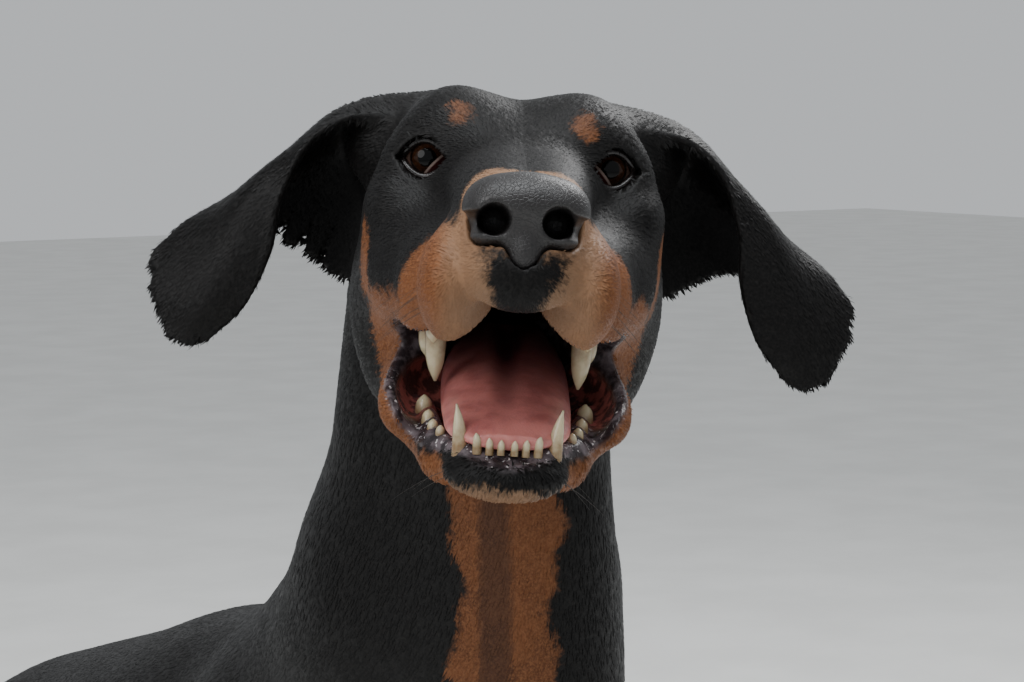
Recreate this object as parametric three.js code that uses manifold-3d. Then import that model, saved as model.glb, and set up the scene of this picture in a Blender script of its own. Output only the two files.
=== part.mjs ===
// A life-size black and rust dog of Doberman pinscher form, lying with its head up, mouth open and drop ears
// spread. Millimetres, +Z up, floor at Z 0. The body faces -Y and the head is turned towards -X, -Y.
//
// The flesh is one smooth field, negative inside, that joins rounded forms. It is meshed in regions, each on
// its own grid, and the regions are parted by thin cuts. Ears, claws and teeth are lofted meshes.
import * as THREE from "three";
import { mergeVertices } from "three/addons/utils/BufferGeometryUtils.js";
import Module from "manifold-3d";

const wasm = await Module();
wasm.setup();

// Driving dimensions
const GAP = 0.3;
const EYE_SPACING = 74;
const EYE_RADIUS = 11.5;
const EAR_THICKNESS = 6;
const EAR_DROOP = { left: 2, right: 0 };
const LID_OPENING = { width: 20.5, height: 15, turn: 12 };
const CLAW_LENGTH = 15;
const CENTRE_SHIFT = [-37, -177];

// Where the head sits: the point midway between the eyes, and how the head is turned
const HEAD_PLACE = [-88, -260, 660];
const HEAD_YAW = -33;
const HEAD_PITCH = -4;
const HEAD_ROLL = 3.8;

const radians = (degrees) => (degrees * Math.PI) / 180;

// Fields: each takes a point and gives a distance, negative inside

function soften(a, b, k) {
  const h = Math.max(k - Math.abs(a - b), 0) / k;
  return Math.min(a, b) - (h * h * k) / 4;
}

function join(k, ...forms) {
  return (x, y, z) => forms.reduce((d, form) => soften(d, form(x, y, z), k), 1e3);
}

function carve(k, body, ...hollows) {
  return (x, y, z) => hollows.reduce((d, hollow) => -soften(-d, hollow(x, y, z), k), body(x, y, z));
}

// Both sides of a form that is given for +X, without a crease in the middle
const MIDDLE_ROUNDING = 3;
function paired(form) {
  return (x, y, z) => form(Math.hypot(x, MIDDLE_ROUNDING), y, z);
}

// An ellipsoid, pitched about X and then turned about Z, in degrees
function egg(centre, radii, pitch = 0, turn = 0) {
  const [cp, sp] = [Math.cos(radians(pitch)), Math.sin(radians(pitch))];
  const [ct, st] = [Math.cos(radians(turn)), Math.sin(radians(turn))];
  return (x, y, z) => {
    const [dx, dy, dz] = [x - centre[0], y - centre[1], z - centre[2]];
    const [tx, ty] = [ct * dx + st * dy, -st * dx + ct * dy];
    const [px, py, pz] = [tx / radii[0], (cp * ty + sp * dz) / radii[1], (-sp * ty + cp * dz) / radii[2]];
    const k0 = Math.hypot(px, py, pz);
    const k1 = Math.hypot(px / radii[0], py / radii[1], pz / radii[2]);
    return k1 < 1e-9 ? -Math.min(...radii) : (k0 * (k0 - 1)) / k1;
  };
}

// A rod between two points, its radius changing evenly along it, flattened sideways by `flat`
function limb(a, b, ra, rb, flat = 1) {
  const [bx, by, bz] = [(b[0] - a[0]) / flat, b[1] - a[1], b[2] - a[2]];
  const whole = bx * bx + by * by + bz * bz;
  return (x, y, z) => {
    const [px, py, pz] = [(x - a[0]) / flat, y - a[1], z - a[2]];
    const t = Math.min(1, Math.max(0, (px * bx + py * by + pz * bz) / whole));
    return Math.hypot(px - t * bx, py - t * by, pz - t * bz) - (ra + t * (rb - ra));
  };
}

// A smooth value read from rows of [place, value, value...] by cubic steps
function readRows(rows, place) {
  const last = rows.length - 1;
  const t = Math.min(rows[last][0], Math.max(rows[0][0], place));
  let i = 0;
  while (i < last - 1 && t > rows[i + 1][0]) i++;
  const [p0, p1, p2, p3] = [rows[Math.max(i - 1, 0)], rows[i], rows[i + 1], rows[Math.min(i + 2, last)]];
  const span = p2[0] - p1[0];
  const u = (t - p1[0]) / span;
  return p1.slice(1).map((v1, n) => {
    const [v0, v2, v3] = [p0[n + 1], p2[n + 1], p3[n + 1]];
    const m1 = ((v2 - v0) / Math.max(p2[0] - p0[0], 1e-6)) * span;
    const m2 = ((v3 - v1) / Math.max(p3[0] - p1[0], 1e-6)) * span;
    const [u2, u3] = [u * u, u * u * u];
    return (2 * u3 - 3 * u2 + 1) * v1 + (u3 - 2 * u2 + u) * m1 + (3 * u2 - 2 * u3) * v2 + (u3 - u2) * m2;
  });
}

// A form along Y from rows of [y, middle z, half width, half height]
function barrel(rows) {
  const [first, last] = [rows[0][0], rows[rows.length - 1][0]];
  return (x, y, z) => {
    const [middle, w, h] = readRows(rows, y);
    const [px, pz] = [x / w, (z - middle) / h];
    const k0 = Math.hypot(px, pz);
    const k1 = Math.max(Math.hypot(px / w, pz / h), 1e-9);
    const side = (k0 * (k0 - 1)) / k1;
    const past = Math.max(first - y, y - last, 0);
    return past > 0 ? Math.hypot(Math.max(side, 0), past) : side;
  };
}

// Head, in its own frame: the eyes' middle is the origin, +X its left, +Y back, +Z up

const HEAD_FRAME = new THREE.Matrix4().compose(
  new THREE.Vector3(...HEAD_PLACE),
  new THREE.Quaternion().setFromEuler(
    new THREE.Euler(radians(HEAD_PITCH), radians(HEAD_ROLL), radians(HEAD_YAW), "ZXY"),
  ),
  new THREE.Vector3(1, 1, 1),
);
const TO_HEAD = HEAD_FRAME.clone().invert();

const EYE_PLACE = [EYE_SPACING / 2, 8, 0];

// Upper head: skull, brows, cheeks, muzzle and hanging lips
const skull = join(
  16,
  egg([0, 62, -7], [52, 76, 37]),
  paired(egg([27, 56, 6], [25, 60, 28], -4)),
  paired(egg([25, 12, 10], [19, 26, 17], 10, -12)),
  egg([0, 14, 0], [28, 36, 21], 14),
  paired(egg([45, 24, -18], [18, 38, 17], 0, 8)),
  paired(egg([43, 48, -56], [26, 38, 50], 8)),
  paired(egg([40, 6, -44], [22, 40, 30], 4)),
  paired(egg([52, 66, 8], [24, 26, 22])),
  paired(egg([37.5, 9, 0], [16.5, 14, 14.5])),
  egg([0, 112, 8], [30, 24, 24]),
);
const muzzle = join(
  12,
  limb([0, -6, -20], [0, -100, -29], 31, 22, 0.95),
  paired(limb([15, -14, -10], [11, -108, -20], 15, 11)),
  paired(egg([23, -70, -50], [15.5, 46, 25], 0, 8)),
  paired(egg([31, -26, -52], [17, 40, 28], 0, 8)),
  egg([0, -112, -44], [20, 15, 16]),
);
const upperHead = join(14, skull, muzzle);

// Lower jaw, swung open: its branches, chin and lip
const jaw = join(
  12,
  paired(limb([34, 40, -92], [22, -52, -118], 20, 13)),
  paired(egg([37.5, -5, -94], [13.5, 42, 15], 18, 10)),
  egg([0, -74, -122], [25, 19, 12], 10),
  egg([0, 4, -110], [30, 60, 15], 11),
);

// The mouth: the way in between the lips, the roof and the floor
const mouth = join(
  8,
  egg([0, -44, -82], [34, 84, 28], 13),
  paired(egg([23, -30, -95], [20, 44, 15], 13)),
  paired(egg([36, -32, -81], [15, 31, 13], 10)),
  egg([0, 8, -76], [28, 40, 18], 10),
);

// The gums, standing inside the lips
const gums = join(
  4,
  paired(limb([0, -79, -117], [16, -76, -116], 4.5, 4.5)),
  paired(limb([16, -76, -116], [27, -52, -113], 5, 5)),
  paired(limb([27, -52, -113], [33, -8, -102], 5, 5)),
  paired(limb([29, -52, -60], [33, -8, -66], 6, 6)),
);
const headField = join(4, carve(5, join(14, upperHead, jaw), mouth), gums);

const TONGUE = [
  [-82, -110, 15, 3],
  [-73, -107.5, 23, 6],
  [-50, -103, 25.5, 9.5],
  [-20, -97, 26.5, 14.5],
  [10, -89, 26, 19],
  [38, -82, 22, 19],
];
const tongue = carve(5, barrel(TONGUE), limb([0, -84, -99], [0, 20, -66], 5, 5));

// Nose pad with its two nostrils, each a round hole with a slit running out and back
const nosePad = join(
  6,
  egg([0, -115, -19], [22, 15, 12]),
  paired(egg([13, -114, -24], [10.5, 14, 12])),
  egg([0, -116, -36], [8, 11, 11]),
);
const nose = carve(
  2,
  nosePad,
  paired(limb([11.5, -144, -24], [12, -112, -25], 6.2, 4.6)),
  paired(limb([14, -140, -26], [25, -115, -30], 4.6, 3.4)),
  limb([0, -134, -28], [0, -126, -50], 1.5, 1.5),
);

// Body, in the part's own frame

const TRUNK = [
  [-178, 226, 20, 26],
  [-160, 222, 52, 66],
  [-115, 216, 84, 122],
  [-50, 214, 102, 160],
  [30, 216, 112, 184],
  [130, 218, 116, 176],
  [230, 222, 108, 140],
  [330, 226, 84, 106],
  [410, 216, 78, 90],
  [490, 192, 72, 74],
  [550, 172, 46, 48],
  [575, 164, 18, 22],
];
const trunk = join(
  30,
  barrel(TRUNK),
  paired(egg([34, 30, 356], [26, 100, 46], -6)),
  paired(egg([44, 460, 200], [44, 78, 62], -14)),
);

const neck = join(
  34,
  limb([0, 6, 326], [-16, -96, 440], 102, 76, 0.92),
  limb([0, -60, 290], [-16, -110, 440], 96, 72, 0.92),
  limb([-16, -104, 430], [-34, -146, 590], 72, 60),
  limb([-8, -150, 250], [-40, -192, 560], 62, 42, 0.9),
);

const tail = join(
  14,
  limb([0, 530, 212], [8, 590, 136], 30, 22),
  limb([8, 590, 136], [30, 640, 58], 22, 18),
  limb([30, 640, 58], [84, 696, 17], 18, 16),
  limb([84, 696, 15], [180, 728, 12], 16, 14),
  limb([180, 728, 12], [262, 706, 8], 14, 9),
);

// A foreleg for one side: +1 is the dog's left. `reach` slides the forearm and paw forward.
function foreleg(side, reach) {
  const at = (x, y, z) => [side * x, y, z];
  const carpus = at(90, -224 - reach, 19);
  return join(
    18,
    limb(at(66, 20, 340), at(90, -124, 210), 40, 46, 0.72),
    limb(at(92, -128, 204), at(108, -14, 62), 46, 34, 0.85),
    egg(at(94, -34, 170), [36, 70, 78], 30),
    limb(at(110, 14, 44), at(112, -40, 36), 26, 36),
    limb(at(112, -34, 33), carpus, 35, 23, 0.92),
    limb(carpus, at(88, -306 - reach, 19), 23, 21, 1.1),
  );
}

// A paw: four arched toes and a pad under them. `place` is the middle of its knuckles on the floor.
const TOES = [
  [-25, 14, 19],
  [-9, -2, 25],
  [9, -2, 25],
  [25, 14, 19],
];
function paw(place, scale) {
  const at = (x, y, z) => [place[0] + x * scale, place[1] + y * scale, z * scale];
  return join(
    5,
    egg(at(0, 22, 17), [29 * scale, 34 * scale, 20 * scale]),
    ...TOES.flatMap(([x, y, lift]) => [
      limb(at(x * 0.8, y + 22, lift), at(x, y, lift * 0.92), 12 * scale, 11.5 * scale),
      limb(at(x, y, lift * 0.92), at(x * 1.04, y - 17, 8.5), 11.5 * scale, 9 * scale),
    ]),
  );
}

function hindleg(side) {
  const at = (x, y, z) => [side * x, y, z];
  return join(
    20,
    egg(at(92, 372, 164), [50, 118, 84], 24),
    egg(at(80, 470, 150), [46, 76, 76], -10),
    limb(at(118, 300, 146), at(136, 268, 130), 52, 38, 0.8),
    limb(at(138, 276, 122), at(142, 400, 78), 38, 31, 0.82),
    limb(at(142, 400, 78), at(146, 480, 38), 29, 20, 0.9),
    limb(at(120, 508, 104), at(144, 488, 44), 26, 15),
    limb(at(147, 482, 18), at(150, 356, 16), 23, 20, 0.95),
  );
}

const REACH_LEFT = 22;
const REACH_RIGHT = 0;
const PAWS = {
  forepaw_left: { place: [88, -330 - REACH_LEFT], scale: 1.05 },
  forepaw_right: { place: [-88, -330 - REACH_RIGHT], scale: 1.05 },
  hindpaw_left: { place: [151, 306], scale: 0.95 },
  hindpaw_right: { place: [-151, 306], scale: 0.95 },
};

const legs = join(24, foreleg(1, REACH_LEFT), foreleg(-1, REACH_RIGHT), hindleg(1), hindleg(-1));
const paws = join(12, ...Object.values(PAWS).map(({ place, scale }) => paw(place, scale)));

const headPoint = new THREE.Vector3();
function headInBody(x, y, z) {
  if (z < 380 || y > 80) return 1e3;
  headPoint.set(x, y, z).applyMatrix4(TO_HEAD);
  return headField(headPoint.x, headPoint.y, headPoint.z);
}
const flesh = join(12, join(26, join(22, trunk, legs), tail, join(30, neck, headInBody)), paws);

// Meshing

// Places along one axis: `rows` of [from, step], ending at `end`
function spaced(rows, end) {
  const places = [];
  rows.forEach(([from, step], i) => {
    const to = i + 1 < rows.length ? rows[i + 1][0] : end;
    const count = Math.max(1, Math.round((to - from) / step));
    for (let n = 0; n < count; n++) places.push(from + ((to - from) * n) / count);
  });
  places.push(end);
  return places;
}

// Fills the crossed corners of a grid, where solid meets solid along an edge or at a point only, so that the
// surface through each cell is one plain sheet
function settle(values, nx, ny, nz) {
  const step = [1, nx, nx * ny];
  const fill = (n) => {
    values[n] = -0.05;
  };
  let changed = true;
  while (changed) {
    changed = false;
    for (let k = 1; k < nz - 2; k++)
      for (let j = 1; j < ny - 2; j++)
        for (let i = 1; i < nx - 2; i++) {
          const here = (k * ny + j) * nx + i;
          for (const [u, v] of [[0, 1], [1, 2], [0, 2]]) {
            const ring = [here, here + step[u], here + step[u] + step[v], here + step[v]];
            const inside = ring.map((n) => values[n] < 0);
            if (inside[0] !== inside[2] || inside[1] !== inside[3] || inside[0] === inside[1]) continue;
            const [a, b] = inside[0] ? [ring[1], ring[3]] : [ring[0], ring[2]];
            fill(values[a] < values[b] ? a : b);
            changed = true;
          }
          const cube = [0, 1, 2, 3, 4, 5, 6, 7].map(
            (n) => here + (n & 1) * step[0] + ((n >> 1) & 1) * step[1] + (n >> 2) * step[2],
          );
          const solid = cube.map((n) => values[n] < 0);
          for (let a = 0; a < 4; a++) {
            const count = solid.filter(Boolean).length;
            if (solid[a] !== solid[7 - a]) continue;
            if (count === 2 && solid[a]) {
              fill(cube[a ^ 1]);
              changed = true;
              break;
            }
            if (count === 6 && !solid[a]) {
              fill(cube[a]);
              changed = true;
              break;
            }
          }
        }
  }
}

// A closed mesh of the place where a field changes sign, with one vertex for each grid cell that it crosses
function meshOf(field, xs, ys, zs) {
  const [nx, ny, nz] = [xs.length, ys.length, zs.length];
  const values = new Float32Array(nx * ny * nz);
  const at = (i, j, k) => (k * ny + j) * nx + i;
  for (let k = 0; k < nz; k++)
    for (let j = 0; j < ny; j++)
      for (let i = 0; i < nx; i++) {
        const rim = i === 0 || j === 0 || k === 0 || i === nx - 1 || j === ny - 1 || k === nz - 1;
        values[at(i, j, k)] = rim ? 1 : field(xs[i], ys[j], zs[k]) || 1e-4;
      }
  settle(values, nx, ny, nz);
  const corners = [0, 1, 2, 3, 4, 5, 6, 7].map((n) => [n & 1, (n >> 1) & 1, n >> 2]);
  const edges = [];
  for (let a = 0; a < 8; a++) for (const bit of [1, 2, 4]) if (!(a & bit)) edges.push([a, a | bit]);
  const cellVertex = new Map();
  const positions = [];
  for (let k = 0; k < nz - 1; k++)
    for (let j = 0; j < ny - 1; j++)
      for (let i = 0; i < nx - 1; i++) {
        const v = corners.map(([a, b, c]) => values[at(i + a, j + b, k + c)]);
        const inside = v.filter((d) => d < 0).length;
        if (inside === 0 || inside === 8) continue;
        const sum = [0, 0, 0];
        let crossings = 0;
        for (const [a, b] of edges) {
          if (v[a] < 0 === v[b] < 0) continue;
          const t = v[a] / (v[a] - v[b]);
          const [p, q] = [corners[a], corners[b]];
          sum[0] += xs[i + p[0]] + t * (xs[i + q[0]] - xs[i + p[0]]);
          sum[1] += ys[j + p[1]] + t * (ys[j + q[1]] - ys[j + p[1]]);
          sum[2] += zs[k + p[2]] + t * (zs[k + q[2]] - zs[k + p[2]]);
          crossings++;
        }
        cellVertex.set(at(i, j, k), positions.length / 3);
        positions.push(...sum.map((s) => s / crossings));
      }
  const index = [];
  const far = (a, b) =>
    Math.hypot(
      positions[3 * a] - positions[3 * b],
      positions[3 * a + 1] - positions[3 * b + 1],
      positions[3 * a + 2] - positions[3 * b + 2],
    );
  const addQuad = (a, b, c, d) => {
    if (far(a, c) < far(b, d)) index.push(a, b, c, a, c, d);
    else index.push(a, b, d, b, c, d);
  };
  const cell = (i, j, k) => cellVertex.get(at(i, j, k));
  for (let k = 0; k < nz - 1; k++)
    for (let j = 0; j < ny - 1; j++)
      for (let i = 0; i < nx - 1; i++) {
        const here = values[at(i, j, k)] < 0;
        const rings = [
          [j && k, values[at(i + 1, j, k)] < 0, [[0, -1, -1], [0, 0, -1], [0, 0, 0], [0, -1, 0]]],
          [i && k, values[at(i, j + 1, k)] < 0, [[-1, 0, -1], [-1, 0, 0], [0, 0, 0], [0, 0, -1]]],
          [i && j, values[at(i, j, k + 1)] < 0, [[-1, -1, 0], [0, -1, 0], [0, 0, 0], [-1, 0, 0]]],
        ];
        for (const [clear, next, ring] of rings) {
          if (!clear || here === next) continue;
          const q = ring.map(([a, b, c]) => cell(i + a, j + b, k + c));
          if (here) addQuad(q[0], q[1], q[2], q[3]);
          else addQuad(q[3], q[2], q[1], q[0]);
        }
      }
  const geometry = new THREE.BufferGeometry();
  geometry.setAttribute("position", new THREE.Float32BufferAttribute(positions, 3));
  geometry.setIndex(index);
  return geometry;
}

function solidOf(geometry) {
  const bare = geometry.clone();
  for (const name of Object.keys(bare.attributes)) if (name !== "position") bare.deleteAttribute(name);
  const merged = mergeVertices(bare, 1e-4);
  return new wasm.Manifold(
    new wasm.Mesh({
      numProp: 3,
      vertProperties: new Float32Array(merged.attributes.position.array),
      triVerts: new Uint32Array(merged.index.array),
    }),
  );
}

// The largest closed body of a solid, as a geometry
function geometryOf(solid) {
  const [largest] = solid.decompose().sort((a, b) => b.volume() - a.volume());
  const mesh = largest.getMesh();
  const positions = new Float32Array(mesh.numVert * 3);
  for (let i = 0; i < mesh.numVert; i++)
    positions.set(mesh.vertProperties.subarray(i * mesh.numProp, i * mesh.numProp + 3), i * 3);
  const geometry = new THREE.BufferGeometry();
  geometry.setAttribute("position", new THREE.BufferAttribute(positions, 3));
  geometry.setIndex(new THREE.BufferAttribute(new Uint32Array(mesh.triVerts), 1));
  return geometry;
}

// A closed mesh from rings of points, each ring with the same count, capped at both ends
function loft(rings) {
  const count = rings[0].length;
  const positions = rings.flat(2);
  const index = [];
  for (let r = 0; r < rings.length - 1; r++)
    for (let n = 0; n < count; n++) {
      const [a, b] = [r * count + n, r * count + ((n + 1) % count)];
      index.push(a, b, b + count, a, b + count, a + count);
    }
  [0, rings.length - 1].forEach((r, end) => {
    const middle = positions.length / 3;
    const sum = rings[r].reduce((s, p) => s.map((v, n) => v + p[n] / count), [0, 0, 0]);
    positions.push(...sum);
    for (let n = 0; n < count; n++) {
      const [a, b] = [r * count + n, r * count + ((n + 1) % count)];
      index.push(...(end ? [a, b, middle] : [b, a, middle]));
    }
  });
  const geometry = new THREE.BufferGeometry();
  geometry.setAttribute("position", new THREE.Float32BufferAttribute(positions, 3));
  geometry.setIndex(index);
  return geometry;
}

// A tapered horn along a bent line: a claw or a tooth. `path` holds [x, y, z, radius] from root to tip.
function horn(path, sides = 5) {
  const points = path.map(([x, y, z]) => new THREE.Vector3(x, y, z));
  const rings = points.map((point, i) => {
    const ahead = points[Math.min(i + 1, points.length - 1)];
    const behind = points[Math.max(i - 1, 0)];
    const along = ahead.clone().sub(behind).normalize();
    const across = new THREE.Vector3(1, 0, 0).cross(along).normalize();
    const other = along.clone().cross(across);
    return Array.from({ length: sides }, (_, n) => {
      const angle = (2 * Math.PI * n) / sides;
      const [c, s] = [path[i][3] * Math.cos(angle), path[i][3] * Math.sin(angle)];
      return point.clone().addScaledVector(across, c).addScaledVector(other, s).toArray();
    });
  });
  return loft(rings);
}

function smoothCurve(points, closed = false) {
  return new THREE.CatmullRomCurve3(
    points.map((p) => new THREE.Vector3(...p)),
    closed,
    "centripetal",
  );
}

// A prism along X of an outline in Y and Z
function prism(outline, fromX, toX) {
  const shape = new THREE.Shape(outline.map(([y, z]) => new THREE.Vector2(y, z)));
  const geometry = new THREE.ExtrudeGeometry(shape, { depth: toX - fromX, bevelEnabled: false });
  const frame = new THREE.Matrix4().makeBasis(
    new THREE.Vector3(0, 1, 0),
    new THREE.Vector3(0, 0, 1),
    new THREE.Vector3(1, 0, 0),
  );
  frame.setPosition(fromX, 0, 0);
  return geometry.applyMatrix4(frame);
}

// Ears: a curved leaf whose five lines run from the head to the tip, from the front edge over the fold to the
// rear edge. Given for the dog's left ear, in the head's frame.
const EAR_LINES = {
  frontEdge: [
    [38, 44, 16], [70, 42, 18], [90, 42, 5], [101, 40, -20], [104, 40, -42], [114, 44, -66], [130, 50, -83],
  ],
  frontFace: [
    [39, 50, 21], [73, 50, 20], [96, 50, 2], [114, 47, -18], [122, 45, -42], [130, 46, -66], [136, 50, -84],
  ],
  fold: [
    [40, 60, 22], [74, 66, 20], [102, 66, -4], [123, 62, -22], [139, 58, -38], [147, 54, -62], [142, 52, -82],
  ],
  backFace: [
    [40, 72, 6], [74, 84, 2], [102, 80, -10], [126, 72, -24], [147, 64, -38], [153, 57, -60], [146, 53, -80],
  ],
  rearEdge: [
    [42, 76, -46], [70, 81, -51], [98, 79, -37], [126, 70, -38], [153, 63, -44], [155, 58, -60], [148, 54, -77],
  ],
};
function earGeometry(side, droop, alongSteps, acrossSteps) {
  const lines = Object.values(EAR_LINES).map((points) => smoothCurve(points));
  const middle = [];
  for (let i = 0; i <= alongSteps; i++) {
    const across = smoothCurve(lines.map((line) => line.getPoint(i / alongSteps).toArray()));
    middle.push(Array.from({ length: acrossSteps + 1 }, (_, j) => across.getPoint(j / acrossSteps)));
  }
  const normalAt = (i, j) => {
    const u = middle[Math.min(i + 1, alongSteps)][j].clone().sub(middle[Math.max(i - 1, 0)][j]);
    const v = middle[i][Math.min(j + 1, acrossSteps)].clone().sub(middle[i][Math.max(j - 1, 0)]);
    return v.cross(u).normalize();
  };
  const rings = middle.map((row, i) => {
    const half = row.map((_, j) => {
      const edge = Math.sin(Math.PI * Math.min(1, Math.max(0, j / acrossSteps)));
      const t = i / alongSteps;
      return (EAR_THICKNESS / 2) * (0.6 + 0.4 * edge) * (1.2 - 0.4 * t);
    });
    const outer = row.map((p, j) => p.clone().addScaledVector(normalAt(i, j), half[j]));
    const inner = row.map((p, j) => p.clone().addScaledVector(normalAt(i, j), -half[j]));
    return [...outer, ...inner.reverse()].map((p) => p.toArray());
  });
  const geometry = loft(rings);
  const pivot = new THREE.Vector3(55, 55, 10);
  geometry.translate(-pivot.x, -pivot.y, -pivot.z).rotateY(radians(droop)).translate(pivot.x, pivot.y, pivot.z);
  if (side < 0) {
    geometry.scale(-1, 1, 1);
    const order = geometry.index.array;
    for (let i = 0; i < order.length; i += 3) [order[i + 1], order[i + 2]] = [order[i + 2], order[i + 1]];
  }
  return geometry;
}

// Cuts: a flat-faced half of space whose face passes through `point`, filling the side that `way` looks to
const SPACE = 3000;
function half(point, way) {
  const turn = new THREE.Quaternion().setFromUnitVectors(
    new THREE.Vector3(0, 0, 1),
    new THREE.Vector3(...way).normalize(),
  );
  const box = new THREE.BoxGeometry(SPACE, SPACE, SPACE).translate(0, 0, SPACE / 2).applyQuaternion(turn);
  return solidOf(box.translate(...point));
}

// The two sides of a flat cut, a gap apart
function parted(solid, point, way) {
  const unit = new THREE.Vector3(...way).normalize();
  const backward = unit.clone().negate();
  const centre = new THREE.Vector3(...point);
  const ahead = centre.clone().addScaledVector(unit, GAP / 2).toArray();
  const behind = centre.clone().addScaledVector(backward, GAP / 2).toArray();
  return [solid.intersect(half(ahead, unit.toArray())), solid.intersect(half(behind, backward.toArray()))];
}

// Grows a field outwards, for the room around a piece that is let in
const grown = (form, by) => (x, y, z) => form(x, y, z) - by;

// Assembly

const LOOKS = {
  black: { color: 0x17130f, roughness: 0.55 },
  rust: { color: 0x8a4a22, roughness: 0.65 },
  nose: { color: 0x1c1a1a, roughness: 0.35 },
  eye: { color: 0x2a160c, roughness: 0.08 },
  tongue: { color: 0xc4736f, roughness: 0.4 },
};
const dog = new THREE.Group();
const placed = new THREE.Group();
placed.position.set(CENTRE_SHIFT[0], CENTRE_SHIFT[1], 0);
const inHead = new THREE.Group();
inHead.applyMatrix4(HEAD_FRAME);
placed.add(inHead);
dog.add(placed);

function addNode(name, solid, look, parent = placed) {
  const material = new THREE.MeshStandardMaterial({ ...LOOKS[look], metalness: 0 });
  const mesh = new THREE.Mesh(geometryOf(solid), material);
  mesh.name = name;
  parent.add(mesh);
}

// Head and jaw, on the finest grid, in the head's frame
const fleshAtHead = (x, y, z) => {
  headPoint.set(x, y, z).applyMatrix4(HEAD_FRAME);
  return flesh(headPoint.x, headPoint.y, headPoint.z);
};
const NECK_CUT = { point: [0, 92, -20], way: [0, 1, -0.22] };
const pastCut = (y, z) => y - NECK_CUT.point[1] - 0.22 * (z - NECK_CUT.point[2]) - 8;
const headGrid = [
  spaced([[-88, 13], [-56, 8.6], [56, 13]], 88),
  spaced([[-144, 9], [-10, 11.5], [40, 16]], 138),
  spaced([[-150, 8.6], [-50, 10.6]], 56),
];
const [, headAndJaw] = parted(
  solidOf(meshOf((x, y, z) => Math.max(fleshAtHead(x, y, z), pastCut(y, z)), ...headGrid)),
  NECK_CUT.point,
  NECK_CUT.way,
);

// The jaw's outline in Y and Z: along the open mouth to its corner, then back under the cheek
const JAW_OUTLINE = [
  [-200, -84],
  [-60, -88],
  [-18, -78],
  [88, -112],
  [124, -160],
  [-200, -200],
];
const jawSpace = solidOf(prism(JAW_OUTLINE, -120, 120));
const jawRoom = jawSpace.add(jawSpace.translate(0, 0.15, 0.3));

const noseGrid = [spaced([[-28, 4.7]], 28), spaced([[-136, 5.4]], -96), spaced([[-52, 4.8]], -2)];
const noseSolid = solidOf(meshOf(nose, ...noseGrid));
const noseRoom = solidOf(meshOf(grown(nosePad, 2 * GAP), ...noseGrid)).add(noseSolid);
const tongueGrid = [spaced([[-32, 8]], 32), spaced([[-90, 11]], 46), spaced([[-122, 7]], -64)];
const tongueSolid = solidOf(meshOf(tongue, ...tongueGrid));
const tongueRoom = solidOf(meshOf(grown(tongue, 2 * GAP), ...tongueGrid)).add(tongueSolid);

// An eye's ball, and the almond opening between its lids
function eyeCutters(side) {
  const ball = (radius) =>
    solidOf(new THREE.SphereGeometry(radius, 12, 8).translate(side * EYE_PLACE[0], ...EYE_PLACE.slice(1)));
  const [w, h] = [LID_OPENING.width / 2, LID_OPENING.height / 2];
  const almond = new THREE.Shape();
  almond.moveTo(-w, 0);
  almond.quadraticCurveTo(0, 2 * h, w, 0);
  almond.quadraticCurveTo(0, -2 * h, -w, 0);
  const opening = new THREE.ExtrudeGeometry(almond, { depth: 17, bevelEnabled: false, curveSegments: 7 });
  opening.rotateX(Math.PI / 2).rotateZ(radians(side * LID_OPENING.turn));
  opening.translate(side * EYE_PLACE[0], EYE_PLACE[1] - 4, EYE_PLACE[2]);
  return { ball: ball(EYE_RADIUS), room: ball(EYE_RADIUS + GAP).add(solidOf(opening)) };
}
const eyes = { left: eyeCutters(1), right: eyeCutters(-1) };

// Teeth as [x, y, gum z, length, radius, lean outwards, lean forwards], both sides of the mouth
const LOWER_TEETH = [
  [2.6, -83, -113, 4, 1.8, 0, 1.5],
  [7, -82, -113, 4.5, 1.9, 0.4, 1.5],
  [11.8, -81, -112.5, 5.5, 2.2, 0.8, 1.5],
  [18.5, -77, -112, 15.5, 3.5, 2.5, 1],
  [26, -57, -110, 3.5, 2.4, 0, 0],
  [29, -46, -109, 4, 2.8, 0, 0],
  [31, -34, -107, 5, 3.4, 0, 0],
  [33, -20, -104, 7, 4.4, 0, 0],
];
const UPPER_TEETH = [
  [18, -90, -54, -8, 4, 1, -2],
  [30, -50, -63, -5, 3.2, 0, 0],
  [31, -38, -67, -8, 4.2, 0, 0],
  [30, -24, -69, -22, 5.4, -1, 0],
  [33, -11, -70, -12, 5, 0, 0],
];
function toothRow(rows) {
  const solids = rows.flatMap(([x, y, z, length, radius, out, fore]) =>
    [1, -1].map((side) => {
      const root = Math.sign(length) * 9;
      return solidOf(
        horn([
          [side * x, y, z - root, radius],
          [side * (x + out * 0.3), y - fore * 0.3, z + length * 0.4, radius * 0.95],
          [side * (x + out), y - fore, z + length, radius * 0.25],
        ]),
      );
    }),
  );
  return wasm.Manifold.union(solids);
}

// A solid cut back so that a gap is left between it and another on every side
function clearOf(solid, other) {
  const ways = [GAP, -GAP].flatMap((d) => [[d, 0, 0], [0, d, 0], [0, 0, d]]);
  return [[0, 0, 0], ...ways].reduce((left, step) => left.subtract(other.translate(...step)), solid);
}
const upperFlesh = headAndJaw.subtract(jawRoom);
const lowerFlesh = headAndJaw.intersect(jawSpace);
const headSolid = upperFlesh
  .subtract(noseRoom)
  .subtract(tongueRoom)
  .add(clearOf(toothRow(UPPER_TEETH).subtract(tongueRoom), lowerFlesh))
  .subtract(eyes.left.room)
  .subtract(eyes.right.room);
const jawSolid = lowerFlesh
  .subtract(tongueRoom)
  .add(clearOf(toothRow(LOWER_TEETH).subtract(tongueRoom), upperFlesh));
addNode("head", headSolid, "black", inHead);
addNode("jaw", jawSolid, "rust", inHead);
addNode("tongue", tongueSolid, "tongue", inHead);
addNode("nose", noseSolid, "nose", inHead);
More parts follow.
